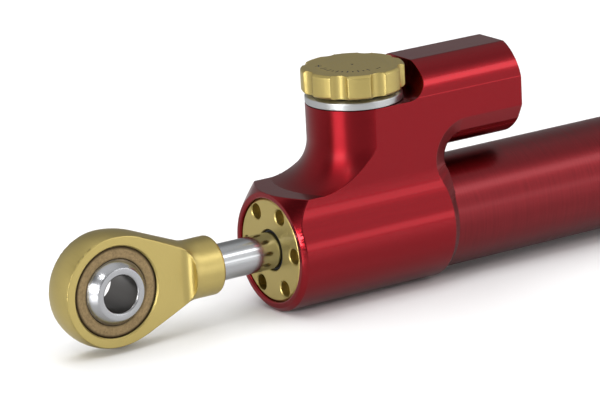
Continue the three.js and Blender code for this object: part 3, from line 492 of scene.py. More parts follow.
def body_foot():
    """Lower body round the tube, with a coned front rim and a chamfered tail, flat on top."""
    front = BODY_LOW.x
    widest = RIM_RADIUS + CONE_WIDTH
    round_part = turned("foot", "x", [
        (front, 0),
        (front, RIM_RADIUS),
        (front + CONE_WIDTH, widest),
        (TAIL - TAIL_CHAMFER, widest),
        (TAIL - TAIL_CHAMFER, BODY_RADIUS + SLIDE_FIT),
        (TAIL, BODY_RADIUS + SLIDE_FIT - TAIL_DEPTH),
        (TAIL, 0),
    ])
    reach = widest + OVERRUN
    above = rectangle(-reach, reach, FOOT_HEIGHT, reach)
    return cut(round_part, extruded("above", "x", above, front - OVERRUN, TAIL + OVERRUN))


def body_tower():
    """Tower with the hollow flare that runs out in the foot's flat."""
    foot = TOWER_RADIUS + FLARE_RADIUS
    flare = arc(FLARE_TOP, foot, FLARE_RADIUS, 180, 270, FLARE_STEPS)
    base = FOOT_HEIGHT - OVERRUN
    outline = [(base, 0), (base, foot)] + flare
    outline += [(TOWER_TOP, TOWER_RADIUS), (TOWER_TOP, 0)]
    return turned("tower", "z", outline, WIDE_SIDES, TOWER)


def body_web():
    """Web between the tower and the barrel, before the slot is cut in its rear edge."""
    base = slot_blend().y + SLIDE_FIT
    outline = rectangle(-BODY_RADIUS, BODY_RADIUS, base, TOWER_TOP)
    return extruded("web", "x", outline, TOWER_X, SLOT_X)


def slot_blend():
    """Middle of the convex blend between the slot and the tail, in X and Z."""
    x = TAIL - TAIL_CHAMFER + TAIL_EASE - SLOT_BLEND
    centres = SLOT_RADIUS + SLOT_BLEND
    return Vector((x, SLOT_HEIGHT - math.sqrt(centres**2 - (SLOT_X - x) ** 2)))


def slot_edge():
    """Slot's edge on the flank, from its top to the tail, as (place, direction into the
    slot, flare's slope, flare's depth). The blend ends just outside the tail's chamfer."""
    slot, blend = Vector((SLOT_X, SLOT_HEIGHT)), slot_blend()
    turn = math.degrees(math.atan2(slot.y - blend.y, slot.x - blend.x))
    slot_slope = SLOT_FLARE_WIDTH / SLOT_FLARE_DEPTH
    tail_tilt = math.cos(math.asin(blend.y / BODY_RADIUS))
    tail_slope = TAIL_CHAMFER / TAIL_DEPTH * tail_tilt
    edge = []
    for point in arc(*slot, SLOT_RADIUS, 90, 180 + turn, SLOT_STEPS):
        inwards = (slot - Vector(point)) / SLOT_RADIUS
        edge.append((Vector(point), inwards, slot_slope, SLOT_FLARE_DEPTH))
    points = arc(*blend, SLOT_BLEND, turn, 0, BLEND_STEPS)
    for i, point in enumerate(points[1:], 1):
        share = i / BLEND_STEPS
        slope = slot_slope + (tail_slope - slot_slope) * share
        depth = SLOT_FLARE_DEPTH + (TAIL_CHAMFER / tail_slope - SLOT_FLARE_DEPTH) * share
        edge.append((Vector(point), (Vector(point) - blend) / SLOT_BLEND, slope, depth))
    return edge


def slot_station(edge, side, reach=None):
    """Points of the slot cutter where its flare ends inside, or at a reach beyond the flank."""
    points = []
    for place, inwards, slope, depth in edge:
        if reach:
            depth = flank_width(place.y) - reach
        moved = place + inwards * depth * slope
        points.append((moved.x, side * (flank_width(place.y) - depth), moved.y))
    rear = SLOT_X + SLOT_RADIUS
    return points + [(rear, *points[-1][1:]), (rear, *points[0][1:])]


def slot_cutter():
    """Slot cutter under the barrel, flared along the flanks and blended into the tail."""
    edge = slot_edge()
    reach = BODY_RADIUS + OVERRUN
    stations = [
        slot_station(edge, -1, reach),
        slot_station(edge, -1),
        slot_station(edge, 1),
        slot_station(edge, 1, reach),
    ]
    made = bmesh.new()
    rows = [[made.verts.new(point) for point in station] for station in stations]
    for first, second in zip(rows, rows[1:]):
        join_rings(made, first, second)
    ends = [made.faces.new(rows[0]), made.faces.new(rows[-1])]
    bmesh.ops.triangulate(made, faces=ends)
    return as_piece("slot", made)


def barrel_outline():
    """Section of the barrel: a circle with a flat facet low on each side."""
    end_y = BARREL_RADIUS * math.cos(math.radians(FACET_END))
    end_z = BARREL_HEIGHT + BARREL_RADIUS * math.sin(math.radians(FACET_END))
    slope = (FACET_TOP - end_z) / (WEB_HALF - end_y)
    outer_y = WEB_HALF + OVERRUN
    outer_z = FACET_TOP + OVERRUN * slope
    over = arc(0, BARREL_HEIGHT, BARREL_RADIUS, 0, 180, BARREL_STEPS)
    ends = (180 - FACET_END, 360 + FACET_END)
    under = arc(0, BARREL_HEIGHT, BARREL_RADIUS, *ends, UNDER_STEPS)
    return [(outer_y, outer_z)] + over + [(-outer_y, outer_z)] + under


def pocket_cutter():
    """Cutter along Y for the pocket in front of the barrel, which has a filleted wall."""
    fillet_x = POCKET_WALL - POCKET_FILLET
    top = BARREL_HEIGHT + BARREL_RADIUS + OVERRUN
    start = TOWER_X - OVERRUN
    fillet = arc(fillet_x, TOWER_TOP + POCKET_FILLET, POCKET_FILLET, -90, 0)
    outline = [(start, TOWER_TOP)] + fillet + [(POCKET_WALL, top), (start, top)]
    reach = BARREL_RADIUS + OVERRUN
    return extruded("pocket", "y", outline, -reach, reach)


def rod_bore():
    """Stepped bore along the rod: gland cap, oil space and the seat of the outer tube."""
    front = BODY_LOW.x
    gland = CAP_RADIUS + SLIDE_FIT
    return turned("bore", "x", [
        (front - OVERRUN, 0),
        (front - OVERRUN, gland + RIM_CHAMFER + OVERRUN),
        (front + RIM_CHAMFER, gland),
        (CAP_HEAD + SEAT_GAP, gland),
        (CAP_HEAD + SEAT_GAP, OIL_BORE),
        (SOCKET_FRONT, OIL_BORE),
        (SOCKET_FRONT, TUBE_SEAT),
        (TAIL + OVERRUN, TUBE_SEAT),
        (TAIL + OVERRUN, 0),
    ])


def housing():
    """The milled body in one piece."""
    web = join(body_foot(), body_tower(), body_web())
    cut(web, slot_cutter())
    barrel = extruded("barrel", "x", barrel_outline(), TOWER_X, BODY_HIGH.x)
    spot_top = BARREL_HEIGHT + BARREL_RADIUS + OVERRUN
    spot_face = bar("z", SPOT_FACE, TOWER_TOP, spot_top, TOWER, WIDE_SIDES)
    cut(barrel, pocket_cutter(), spot_face)
    form = join(web, barrel)
    common(form, extruded("milling", "x", body_outline(), BODY_LOW.x, BODY_HIGH.x))
    ends = (BODY_HIGH.x, RESERVOIR_FRONT)
    reservoir = hole_cutter("x", RESERVOIR_RADIUS, RIM_CHAMFER, *ends, BARREL)
    seat = CARTRIDGE_RADIUS + SLIDE_FIT
    valve = bar("z", seat, VALVE_BORE_BOTTOM, TOWER_TOP + OVERRUN, TOWER)
    cut(form, rod_bore(), valve, reservoir)
    return softened(form, BODY_EDGE, BODY_SHARP_ANGLE, BODY_WELD)


def outer_tube():
    """The long round tube."""
    outline = [
        (TUBE_LOW.x, TUBE_BORE),
        (TUBE_LOW.x, TUBE_RADIUS),
        (TUBE_HIGH.x, TUBE_RADIUS),
        (TUBE_HIGH.x, TUBE_BORE),
    ]
    return turned("tube", "x", rounded(outline, TUBE_EDGE))


def gland_cap():
    """Front cap with the bores of the wiper, bush and seal, and six pin holes."""
    wiper_rear = WIPER_HIGH.x + SEAT_GAP
    bush_front = wiper_rear + GLAND_RIB
    seal_front = bush_front + BUSH_LENGTH
    chamfered = [(0, GLAND_HOLE + GLAND_CHAMFER), (0, CAP_RADIUS - CAP_CHAMFER)]
    outline = chamfered + [
        (CAP_CHAMFER, CAP_RADIUS),
        (CAP_HEAD, CAP_RADIUS),
        (CAP_HEAD, SPIGOT_RADIUS),
        (CAP_HIGH.x, SPIGOT_RADIUS),
        (CAP_HIGH.x, SEAL_SEAT),
        (seal_front, SEAL_SEAT),
        (seal_front, BUSH_SEAT),
        (bush_front, BUSH_SEAT),
        (bush_front, GLAND_HOLE),
        (wiper_rear, GLAND_HOLE),
        (wiper_rear, WIPER_SEAT),
        (WIPER_FRONT, WIPER_SEAT),
        (WIPER_FRONT, GLAND_HOLE),
        (GLAND_CHAMFER, GLAND_HOLE),
    ]
    cap = turned("cap", "x", rounded(outline, FINE_EDGE))
    return cut(cap, *pin_holes(PIN_COUNT, CAP_RADIUS - PIN_INSET, PIN_TURN, 0, PIN_DEPTH))


def rod_wiper():
    """Rubber wiper with its lip on the rod."""
    bore = ROD_RADIUS + SLIDE_FIT
    lip = GLAND_HOLE - SLIDE_FIT
    front = WIPER_FRONT + SEAT_GAP
    outline = [
        (WIPER_LOW.x, bore),
        (WIPER_LOW.x, (bore + lip) / 2),
        (WIPER_FRONT, lip),
        (front, lip),
        (front, WIPER_HIGH.z),
        (WIPER_HIGH.x, WIPER_HIGH.z),
        (WIPER_HIGH.x, bore),
    ]
    return turned("wiper", "x", rounded(outline, FINE_EDGE), ROUND_SIDES)


def piston_rod():
    """Chromed rod with the stub that carries the piston."""
    return turned("rod", "x", [
        (ROD_LOW.x, 0),
        (ROD_LOW.x, ROD_RADIUS - ROD_CHAMFER),
        (ROD_LOW.x + ROD_CHAMFER, ROD_RADIUS),
        (ROD_SHOULDER, ROD_RADIUS),
        (ROD_SHOULDER, STUB_RADIUS),
        (ROD_HIGH.x - ROD_CHAMFER, STUB_RADIUS),
        (ROD_HIGH.x, STUB_RADIUS - ROD_CHAMFER),
        (ROD_HIGH.x, 0),
    ])


def rod_end_outline():
    """Half section of the eye and its neck, with the eye's centre at zero."""
    end = EYE_HIGH.x - EYE_X
    drop = SHOULDER_RADIUS - EYE_RADIUS
    sphere = arc(0, 0, EYE_RADIUS, 180, 90, SPHERE_STEPS)
    shoulder = arc(0, -drop, SHOULDER_RADIUS, 90, 90 - CONE_ANGLE, SHOULDER_STEPS)
    tilt = math.radians(CONE_ANGLE)
    cone_x, cone_radius = shoulder[-1]
    sharp_end = cone_x + (cone_radius - NECK_RADIUS) / math.tan(tilt)
    fillet_x = sharp_end + CONE_FILLET * math.tan(tilt / 2)
    fillet_radius = NECK_RADIUS + CONE_FILLET
    fillet = arc(fillet_x, fillet_radius, CONE_FILLET, 270 - CONE_ANGLE, 270, NECK_STEPS)
    edge = arc(end - NECK_EDGE, NECK_RADIUS - NECK_EDGE, NECK_EDGE, 90, 0, NECK_EDGE_STEPS)
    return [(-EYE_RADIUS, 0)] + sphere[1:] + shoulder[1:] + fillet + edge + [(end, 0)]


def flat_cutter(side):
    """Cutter for one side flat of the eye, which runs out towards the neck in a fillet."""
    start = -EYE_RADIUS - OVERRUN
    reach = EYE_RADIUS + OVERRUN
    fillet = arc(FLAT_RUN_OUT, EYE_HALF + FLAT_FILLET, FLAT_FILLET, -90, 0)
    outline = [(start, EYE_HALF)] + fillet + [(FLAT_RUN_OUT + FLAT_FILLET, reach), (start, reach)]
    placed = [(EYE_X + x, side * y) for x, y in outline]
    return extruded("flat", "z", placed, -reach, reach)


def rod_end():
    """Eye with its neck, the flats on both sides and the seat of the bearing."""
    body = turned("eye", "x", rod_end_outline(), WIDE_SIDES, EYE)
    beyond = EYE_RADIUS * 3
    socket = bar("x", ROD_RADIUS + SLIDE_FIT, ROD_SOCKET_BOTTOM, beyond, EYE)
    cut(body, flat_cutter(1), flat_cutter(-1), socket)
    softened(body, EYE_EDGE)
    mouth = RACE_SEAT + SEAT_CHAMFER
    inner = EYE_HALF - SEAT_CHAMFER
    outer = EYE_HALF + OVERRUN
    seat = turned("seat", "y", [
        (-outer, 0),
        (-outer, mouth + OVERRUN),
        (-inner, RACE_SEAT),
        (inner, RACE_SEAT),
        (outer, mouth + OVERRUN),
        (outer, 0),
    ], WIDE_SIDES, EYE)
    return cut(body, seat)


def bearing_race():
    """Bronze race with the hollow that holds the ball."""
    half = RACE_HIGH.y
    hollow = BALL_RADIUS + SLIDE_FIT
    edge = math.degrees(math.asin(half / hollow))
    inner = arc(0, 0, hollow, 90 - edge, 90 + edge)
    outline = [(-half, RACE_RADIUS), (half, RACE_RADIUS)] + inner
    return turned("race", "y", rounded(outline, RACE_EDGE), WIDE_SIDES, EYE)


def bearing_ball():
    """Spherical ball with its flat faces and bolt bore."""
    edge = math.degrees(math.asin(BALL_HALF / BALL_RADIUS))
    outline = arc(0, 0, BALL_RADIUS, 90 - edge, 90 + edge, BALL_STEPS) + [
        (-BALL_HALF, BALL_BORE + BORE_CHAMFER),
        (BORE_CHAMFER - BALL_HALF, BALL_BORE),
        (BALL_HALF - BORE_CHAMFER, BALL_BORE),
        (BALL_HALF, BALL_BORE + BORE_CHAMFER),
    ]
    return turned("ball", "y", rounded(outline, BALL_EDGE), WIDE_SIDES, EYE)


def valve_cartridge():
    """Valve cartridge with the silver flange under the knob."""
    top = VALVE_HIGH.z
    flange = top - FLANGE_HEIGHT
    high, wide = FLANGE_CHAMFER
    outline = rounded([
        (VALVE_LOW.z, GUIDE_BORE),
        (VALVE_LOW.z, CARTRIDGE_RADIUS),
        (flange, CARTRIDGE_RADIUS),
        (flange, TOWER_RADIUS),
        (top - high, TOWER_RADIUS),
        (top, TOWER_RADIUS - wide),
        (top, SPINDLE_BORE),
        (top - CARTRIDGE_NECK, SPINDLE_BORE),
        (top - CARTRIDGE_NECK, GUIDE_BORE),
    ], CARTRIDGE_EDGE)
    cartridge = turned("cartridge", "z", outline, WIDE_SIDES, TOWER)
    detent = (TOWER_X + DETENT_PITCH, 0, 0)
    return cut(cartridge, bar("z", DETENT_BORE, flange - OVERRUN, top + OVERRUN, detent))


def mark(pitch, turn, length, width):
    """Cutter of a straight mark in the knob's top; length runs outwards, width round it."""
    top = KNOB_HIGH.z
    out = Vector((math.cos(math.radians(turn)), math.sin(math.radians(turn))))
    aside = Vector((-out.y, out.x))
    middle = Vector((TOWER_X, 0)) + out * pitch
    corners = rectangle(-1, 1, -1, 1)
    outline = [middle + out * (a * length / 2) + aside * (b * width / 2) for a, b in corners]
    return extruded("mark", "z", outline, top - MARK_DEPTH, top + OVERRUN)


def knob_marks():
    """Cutters of the plain scale: plus, minus, ticks between them and a centre mark."""
    top = KNOB_HIGH.z
    signs = [mark(SIGN_PITCH, turn, MARK_WIDTH, SIGN_SIZE) for turn in (PLUS_TURN, MINUS_TURN)]
    upright = mark(SIGN_PITCH, PLUS_TURN, SIGN_SIZE, MARK_WIDTH)
    ticks = []
    for i, turn in enumerate(TICK_TURNS):
        ticks.append(mark(MARK_PITCH, turn, TICK_LENGTHS[i % 2], MARK_WIDTH))
    dot = bar("z", CENTRE_MARK, top - MARK_DEPTH, top + OVERRUN, TOWER)
    return signs + [upright] + ticks + [dot]


def grub_bore():
    """Cutter of the grub screw's bore, from the knob's axis out through a flute."""
    height = (GRUB_LOW.z + GRUB_HIGH.z) / 2
    bore = bar("x", GRUB_BORE, 0, KNOB_RADIUS + OVERRUN, (0, 0, height))
    turn = Matrix.Rotation(math.radians(FLUTE_TURN + 180), 4, "Z")
    bore.data.transform(Matrix.Translation(TOWER) @ turn)
    return bore


def knob_dimples():
    """Cutters of the ring of dimples under the knob, where the detent ball clicks in."""
    bottom = KNOB_LOW.z
    mouth = DIMPLE_RADIUS * (1 + OVERRUN / DIMPLE_DEPTH)
    outline = [(bottom - OVERRUN, 0), (bottom - OVERRUN, mouth), (bottom + DIMPLE_DEPTH, 0)]
    dimples = []
    for i in range(DIMPLE_COUNT):
        angle = 2 * math.pi * i / DIMPLE_COUNT
        place = (TOWER_X + DETENT_PITCH * math.cos(angle), DETENT_PITCH * math.sin(angle), 0)
        dimples.append(turned("dimple", "z", outline, DIMPLE_SIDES, place))
    return dimples


def on_mark(place):
    """Whether a place lies in one of the marks cut in the knob's top."""
    depth = KNOB_HIGH.z - place.z
    out = math.hypot(place.x - TOWER_X, place.y)
    return MARK_DEPTH / 4 < depth < MARK_DEPTH * 1.5 and out < SIGN_PITCH + SIGN_SIZE


def knob():
    """Fluted adjusting knob, turned first and then milled."""
    bottom, top = KNOB_LOW.z, KNOB_HIGH.z
    body = turned("knob", "z", [
        (bottom, 0),
        (bottom, KNOB_RADIUS - KNOB_CHAMFER),
        (bottom + KNOB_CHAMFER, KNOB_RADIUS),
        (top - KNOB_CHAMFER, KNOB_RADIUS),
        (top, KNOB_RADIUS - KNOB_CHAMFER),
        (top, 0),
    ], WIDE_SIDES, TOWER)
    flutes = []
    pitch = KNOB_RADIUS + FLUTE_RADIUS - FLUTE_DEPTH
    for i in range(FLUTE_COUNT):
        angle = math.radians(FLUTE_TURN + 360 * i / FLUTE_COUNT)
        place = (TOWER_X + pitch * math.cos(angle), pitch * math.sin(angle), 0)
        flutes.append(bar("z", FLUTE_RADIUS, bottom - OVERRUN, top + OVERRUN, place, ROUND_SIDES))
    cut(body, *flutes)
    softened(body, KNOB_EDGE)
    bore = bar("z", SPINDLE_BORE, bottom - OVERRUN, top - KNOB_ROOF, TOWER)
    return cut(body, bore, grub_bore(), *knob_marks(), *knob_dimples())


def end_cap():
    """Rear cap in the tube."""
    radius = END_HIGH.z
    front, face = END_LOW.x, END_HIGH.x
    outline = [
        (front, 0),
        (front, SPIGOT_RADIUS),
        (front + END_SPIGOT, SPIGOT_RADIUS),
        (front + END_SPIGOT, radius),
        (face - CAP_CHAMFER, radius),
        (face, radius - CAP_CHAMFER),
        (face, 0),
    ]
    cap = turned("end", "x", rounded(outline, FINE_EDGE))
    return cut(cap, *pin_holes(PIN_COUNT, radius - PIN_INSET, 0, face, face - PIN_DEPTH))


def reservoir_plug():
    """Plug of the reservoir with its two pin holes and the seat of the charge screw."""
    face = PLUG_HIGH.x
    outline = [
        (PLUG_LOW.x, 0),
        (PLUG_LOW.x, PLUG_RADIUS),
        (face - PLUG_CHAMFER, PLUG_RADIUS),
        (face, PLUG_RADIUS - PLUG_CHAMFER),
        (face, 0),
    ]
    plug = turned("plug", "x", rounded(outline, FINE_EDGE), WIDE_SIDES, BARREL)
    radius, bottom = SCREW_HIGH.y + SLIDE_FIT, SCREW_LOW.x - SEAT_GAP
    seat = hole_cutter("x", radius, SCREW_CHAMFER, face, bottom, BARREL)
    depth = face - PLUG_PIN_DEPTH
    pins = (PLUG_PIN_COUNT, PLUG_PIN_PITCH, 0, face, depth, PLUG_PIN_RADIUS, BARREL_HEIGHT)
    return cut(plug, seat, *pin_holes(*pins))


def charge_screw():
    """Small screw with a hexagon socket that closes the reservoir."""
    radius, end = SCREW_HIGH.y, SCREW_HIGH.x
    outline = [(SCREW_LOW.x, 0), (SCREW_LOW.x, radius), (end, radius), (end, 0)]
    screw = turned("screw", "x", rounded(outline), HOLE_SIDES, BARREL)
    socket = bar("x", SOCKET_RADIUS, end - SOCKET_DEPTH, end + OVERRUN, BARREL, HEXAGON)
    return cut(screw, socket)


def finished(piece, node, material):
    """Shades a piece, brings it into the frame and lets it stand for a CAD node."""
    piece.name = node + "_fine"
    mesh = piece.data
    mesh.transform(Matrix.Translation(ORIGIN) @ Matrix.Scale(MM, 4))
    mesh.shade_smooth()
    mesh.set_sharp_from_angle(angle=math.radians(SMOOTH_ANGLE))
    mesh.materials.clear()
    mesh.materials.append(material)
    weighted = piece.modifiers.new("normals", "WEIGHTED_NORMAL")
    weighted.keep_sharp = True
    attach(piece, BODY_OF[node])
    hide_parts(node)


class Graph:
    """The nodes of a material or a world."""

    def __init__(self, owner):
        owner.use_nodes = True
        self.nodes = owner.node_tree.nodes
        self.links = owner.node_tree.links

    def put(self, value, target):
        """Links an input to another node's output, or sets it to a constant."""
        if isinstance(value, bpy.types.NodeSocket):
            self.links.new(value, target)
        else:
            target.default_value = value

    def add(self, kind, **values):
        """A new node; values are its settings, or what its inputs of those names get."""
        made = self.nodes.new(kind)
        for name, value in values.items():
            if hasattr(made, name):
                setattr(made, name, value)
            else:
                self.put(value, made.inputs[name])
        return made

    def feed(self, made, *values):
        """The result of a node whose first inputs get these values."""
        for target, value in zip(made.inputs, values):
            self.put(value, target)
        return made.outputs[0]

    def math(self, operation, *values):
        """The result of a math node."""
        return self.feed(self.add("ShaderNodeMath", operation=operation), *values)

    def vector(self, *values):
        """A vector from its three parts."""
        return self.feed(self.add("ShaderNodeCombineXYZ"), *values)

    def ranged(self, value, low, high, start=0.3, end=0.7, kind="LINEAR"):
        """A value between start and end mapped to low and high."""
        made = self.add("ShaderNodeMapRange", interpolation_type=kind)
        return self.feed(made, value, start, end, low, high)


class Finish(Graph):
    """A procedural material round one Principled shader."""

    def __init__(self, name, color, roughness, metallic=1.0):
        self.material = bpy.data.materials.new(name)
        super().__init__(self.material)
        self.shader = self.nodes["Principled BSDF"]
        self.set("Base Color", (*color, 1))
        self.set("Metallic", metallic)
        self.set("Roughness", roughness)

    def set(self, name, value):
        """Gives an input of the shader a constant or a link."""
        self.put(value, self.shader.inputs[name])

    def distance(self, first, second):
        """Distance from an axis, from the places along the two directions across it."""
        squares = [self.math("MULTIPLY", place, place) for place in (first, second)]
        return self.math("SQRT", self.math("ADD", *squares))

    def place(self, centre=AXIS):
        """Place on the piece in millimetres from a point of the damper, as x, y, z sockets."""
        place = self.add("ShaderNodeTexCoord").outputs["Object"]
        start = ORIGIN / MM + Vector(centre)
        scale = (1 / MM,) * 3
        mapping = self.add("ShaderNodeMapping", Vector=place, Location=-start, Scale=scale)
        return list(self.add("ShaderNodeSeparateXYZ", Vector=mapping.outputs[0]).outputs)

    def noise(self, vector, scale=1.0, detail=2.0, roughness=0.5):
        """Noise between 0 and 1 over a vector."""
        made = self.add("ShaderNodeTexNoise", Scale=scale, Detail=detail, Roughness=roughness)
        self.put(vector, made.inputs["Vector"])
        return made.outputs["Fac"]

    def bump(self, heights, depth):
        """Adds a bump, in millimetres, to the surface."""
        made = self.add("ShaderNodeBump", Height=heights, Strength=1.0, Distance=depth * MM)
        self.set("Normal", made.outputs[0])

    def tint(self, factor, dark, light):
        """Base colour between two colours by a factor."""
        made = self.add("ShaderNodeMix", data_type="RGBA", Factor=factor)
        colors = [s for s in made.inputs if s.type == "RGBA"]
        for color, target in zip((dark, light), colors):
            self.put((*color, 1), target)
        result = [s for s in made.outputs if s.type == "RGBA"][0]
        self.set("Base Color", result)


# Finishes. Colours are linear, marks are noises whose detail is a count of octaves, and a metal's
# gloss and colour vary with its marks by these shares.
GLOSS_SHARES = (0.85, 1.2)
SHADE_SHARE = 0.93
GRAIN_SHADE_SHARE = 0.8
MARK_DETAIL = 3.0
MARK_SWEEP = 1.5
RADIAL_SHARE = 0.83
GRAIN_DEPTH = 0.01
METAL_COAT_ROUGHNESS = 0.2
MILLING_SCALES = (0.25, 1.5, 12.0)
RED = (0.245, 0.009, 0.014)
DEEP_RED = (0.232, 0.008, 0.013)
TUBE_RED = (0.205, 0.01, 0.015)
GOLD = (0.55, 0.435, 0.15)
BRONZE = (0.36, 0.26, 0.135)
# Bronze darkened by painted shade along the race's edges
EDGE_SHADED_BRONZE = (0.05, 0.034, 0.018)
CHROME = (0.47, 0.48, 0.49)
SILVER = (0.52, 0.53, 0.535)
STEEL = (0.5, 0.5, 0.52)
BALL_STEEL = (0.42, 0.425, 0.44)
# Steel darkened by painted shade inside the ball's bore
SHADED_BORE_STEEL = (0.12, 0.114, 0.11)
RUBBER = (0.02, 0.02, 0.02)
INK = (0.05, 0.045, 0.04)

# Where the painted shade along the race's outer and inner edges, next to its seat and the ball, and
# the painted shade in the ball's bore begin and end, from their edges
RACE_OUTER_SHADE = (0.75, 0.3)
RACE_INNER_SHADE = (1.0, 0.3)
BORE_SHADE = (0.05, 0.2)


def turned_marks(finish, axis, centre, pitch, sweep=MARK_SWEEP):
    """Noise of fine turning marks round an axis through centre; pitch is their spacing."""
    x, y, z = finish.place(centre)
    along, first, second = {"x": (x, y, z), "y": (y, x, z), "z": (z, x, y)}[axis]
    radius = finish.distance(first, second)
    step = finish.math("ADD", along, finish.math("MULTIPLY", radius, RADIAL_SHARE))
    fine = finish.math("MULTIPLY", step, 1 / pitch)
    round_first = finish.math("MULTIPLY", finish.math("DIVIDE", first, radius), sweep)
    round_second = finish.math("MULTIPLY", finish.math("DIVIDE", second, radius), sweep)
    return finish.noise(finish.vector(fine, round_first, round_second), detail=MARK_DETAIL)


def turned_metal(name, color, axis, centre, roughness, pitch, depth, coat=0.0, shade=SHADE_SHARE):
    """Turned metal: circular marks in the bump, the gloss and the colour."""
    finish = Finish(name, color, roughness)
    marks = turned_marks(finish, axis, centre, pitch)
    finish.bump(marks, depth)
    gloss = finish.ranged(marks, *[roughness * share for share in GLOSS_SHARES])
    finish.set("Roughness", gloss)
    dark = tuple(c * shade for c in color)
    finish.tint(finish.ranged(marks, 0, 1), dark, color)
    finish.set("Coat Weight", coat)
    finish.set("Coat Roughness", METAL_COAT_ROUGHNESS)
    return finish.material


def red_body():
    """Glossy red anodised body with very fine milling lines that run level."""
    finish = Finish("red_body", RED, roughness=0.2)
    scaled = zip(finish.place(), MILLING_SCALES)
    level = finish.vector(*[finish.math("MULTIPLY", place, scale) for place, scale in scaled])
    lines = finish.noise(level, detail=MARK_DETAIL)
    finish.bump(lines, depth=0.0004)
    finish.set("Roughness", finish.ranged(lines, low=0.17, high=0.24))
    finish.tint(finish.ranged(lines, 0, 1), DEEP_RED, RED)
    finish.set("Coat Weight", 0.2)
    finish.set("Coat Roughness", 0.06)
    return finish.material


def red_tower():
    """Turned part of the red body: marks round the tower stretch its reflections upwards."""
    finish = Finish("red_tower", RED, roughness=0.38)
    marks = turned_marks(finish, "z", TOWER, pitch=0.1)
    finish.bump(marks, depth=0.0008)
    finish.tint(finish.ranged(marks, 0, 1), DEEP_RED, RED)
    x, y = finish.place(TOWER)[:2]
    inwards = finish.math("DIVIDE", -1.0, finish.distance(x, y))
    across = [finish.math("MULTIPLY", place, inwards) for place in (x, y)]
    finish.set("Tangent", finish.vector(*across, 1.0))
    finish.set("Anisotropic", 0.9)
    finish.set("Coat Weight", 0.1)
    finish.set("Coat Roughness", 0.3)
    return finish.material


def give_faces(piece, material, test):
    """Gives a second material to the faces whose middle passes a test, in the damper's places."""
    piece.data.materials.append(material)
    slot = len(piece.data.materials) - 1
    for face in piece.data.polygons:
        if test((face.center - ORIGIN) / MM):
            face.material_index = slot


def on_tower(place):
    """Whether a place lies on the turned tower or its flare, beside the milled flats."""
    out = math.hypot(place.x - TOWER_X, place.y)
    if abs(place.y) > WEB_HALF - TOWER_FACE or place.z > TOWER_TOP - TOWER_FACE:
        return False
    if place.z > FLARE_TOP:
        return abs(out - TOWER_RADIUS) < TOWER_FACE
    from_middle = math.hypot(out - TOWER_RADIUS - FLARE_RADIUS, place.z - FLARE_TOP)
    return abs(from_middle - FLARE_RADIUS) < TOWER_FACE


def red_tube():
    """Satin red anodised tube with fine turning lines."""
    return turned_metal(
        "red_tube", TUBE_RED, "x", AXIS, roughness=0.34, pitch=0.4, depth=0.01, coat=0.3, shade=0.8
    )


def bronze():
    """Mottled bronze with turning marks, and painted shade darkening it along both edges, next to
    its seat and the ball.
    """
    finish = Finish("bronze", BRONZE, roughness=0.4)
    marks = turned_marks(finish, "y", EYE, pitch=0.3, sweep=3.0)
    x, y, z = finish.place(EYE)
    mottle = finish.noise(finish.vector(x, y, z), scale=1.8, detail=5.0, roughness=0.72)
    out = finish.distance(x, z)
    # Painted shade: darker along the outer edge by the seat and the inner edge by the ball
    outer = finish.ranged(out, 1, 0, *[RACE_RADIUS - inside for inside in RACE_OUTER_SHADE])
    inner = finish.ranged(out, 0, 1, *[BALL_RADIUS - inside for inside in RACE_INNER_SHADE])
    unshaded = finish.math("MULTIPLY", outer, inner)
    patches = finish.ranged(mottle, low=0.62, high=1.15)
    grain = finish.math("MULTIPLY", patches, finish.ranged(marks, low=0.8, high=1))
    finish.tint(finish.math("MULTIPLY", unshaded, grain), EDGE_SHADED_BRONZE, BRONZE)
    finish.bump(marks, depth=0.004)
    return finish.material


def plain(name, color, roughness, grain, metallic=0.0):
    """Simple finish with a fine grain, for rubber, ink and the pieces inside."""
    finish = Finish(name, color, roughness, metallic)
    x, y, z = finish.place()
    speckle = finish.noise(finish.vector(x, y, z), grain, MARK_DETAIL)
    finish.tint(finish.ranged(speckle, 0, 1), tuple(c * GRAIN_SHADE_SHARE for c in color), color)
    finish.bump(speckle, GRAIN_DEPTH)
    return finish.material


def gold(name, axis, centre, roughness=0.36):
    """Satin gold anodised metal."""
    return turned_metal(name, GOLD, axis, centre, roughness, pitch=0.14, depth=0.004, coat=0.2)


def steel_ball():
    """Polished steel ball with a duller bore, which is darkened with painted shade."""
    finish = Finish("steel_ball", BALL_STEEL, roughness=0.22)
    marks = turned_marks(finish, "y", EYE, pitch=0.12)
    finish.bump(marks, depth=0.0015)
    x, _, z = finish.place(EYE)
    out = finish.distance(x, z)
    # Painted shade darkens the bore
    outside = finish.ranged(out, 0, 1, *[BALL_BORE + beyond for beyond in BORE_SHADE])
    finish.tint(outside, SHADED_BORE_STEEL, BALL_STEEL)
    finish.set("Roughness", finish.ranged(outside, low=0.3, high=0.22, start=0, end=1))
    return finish.material


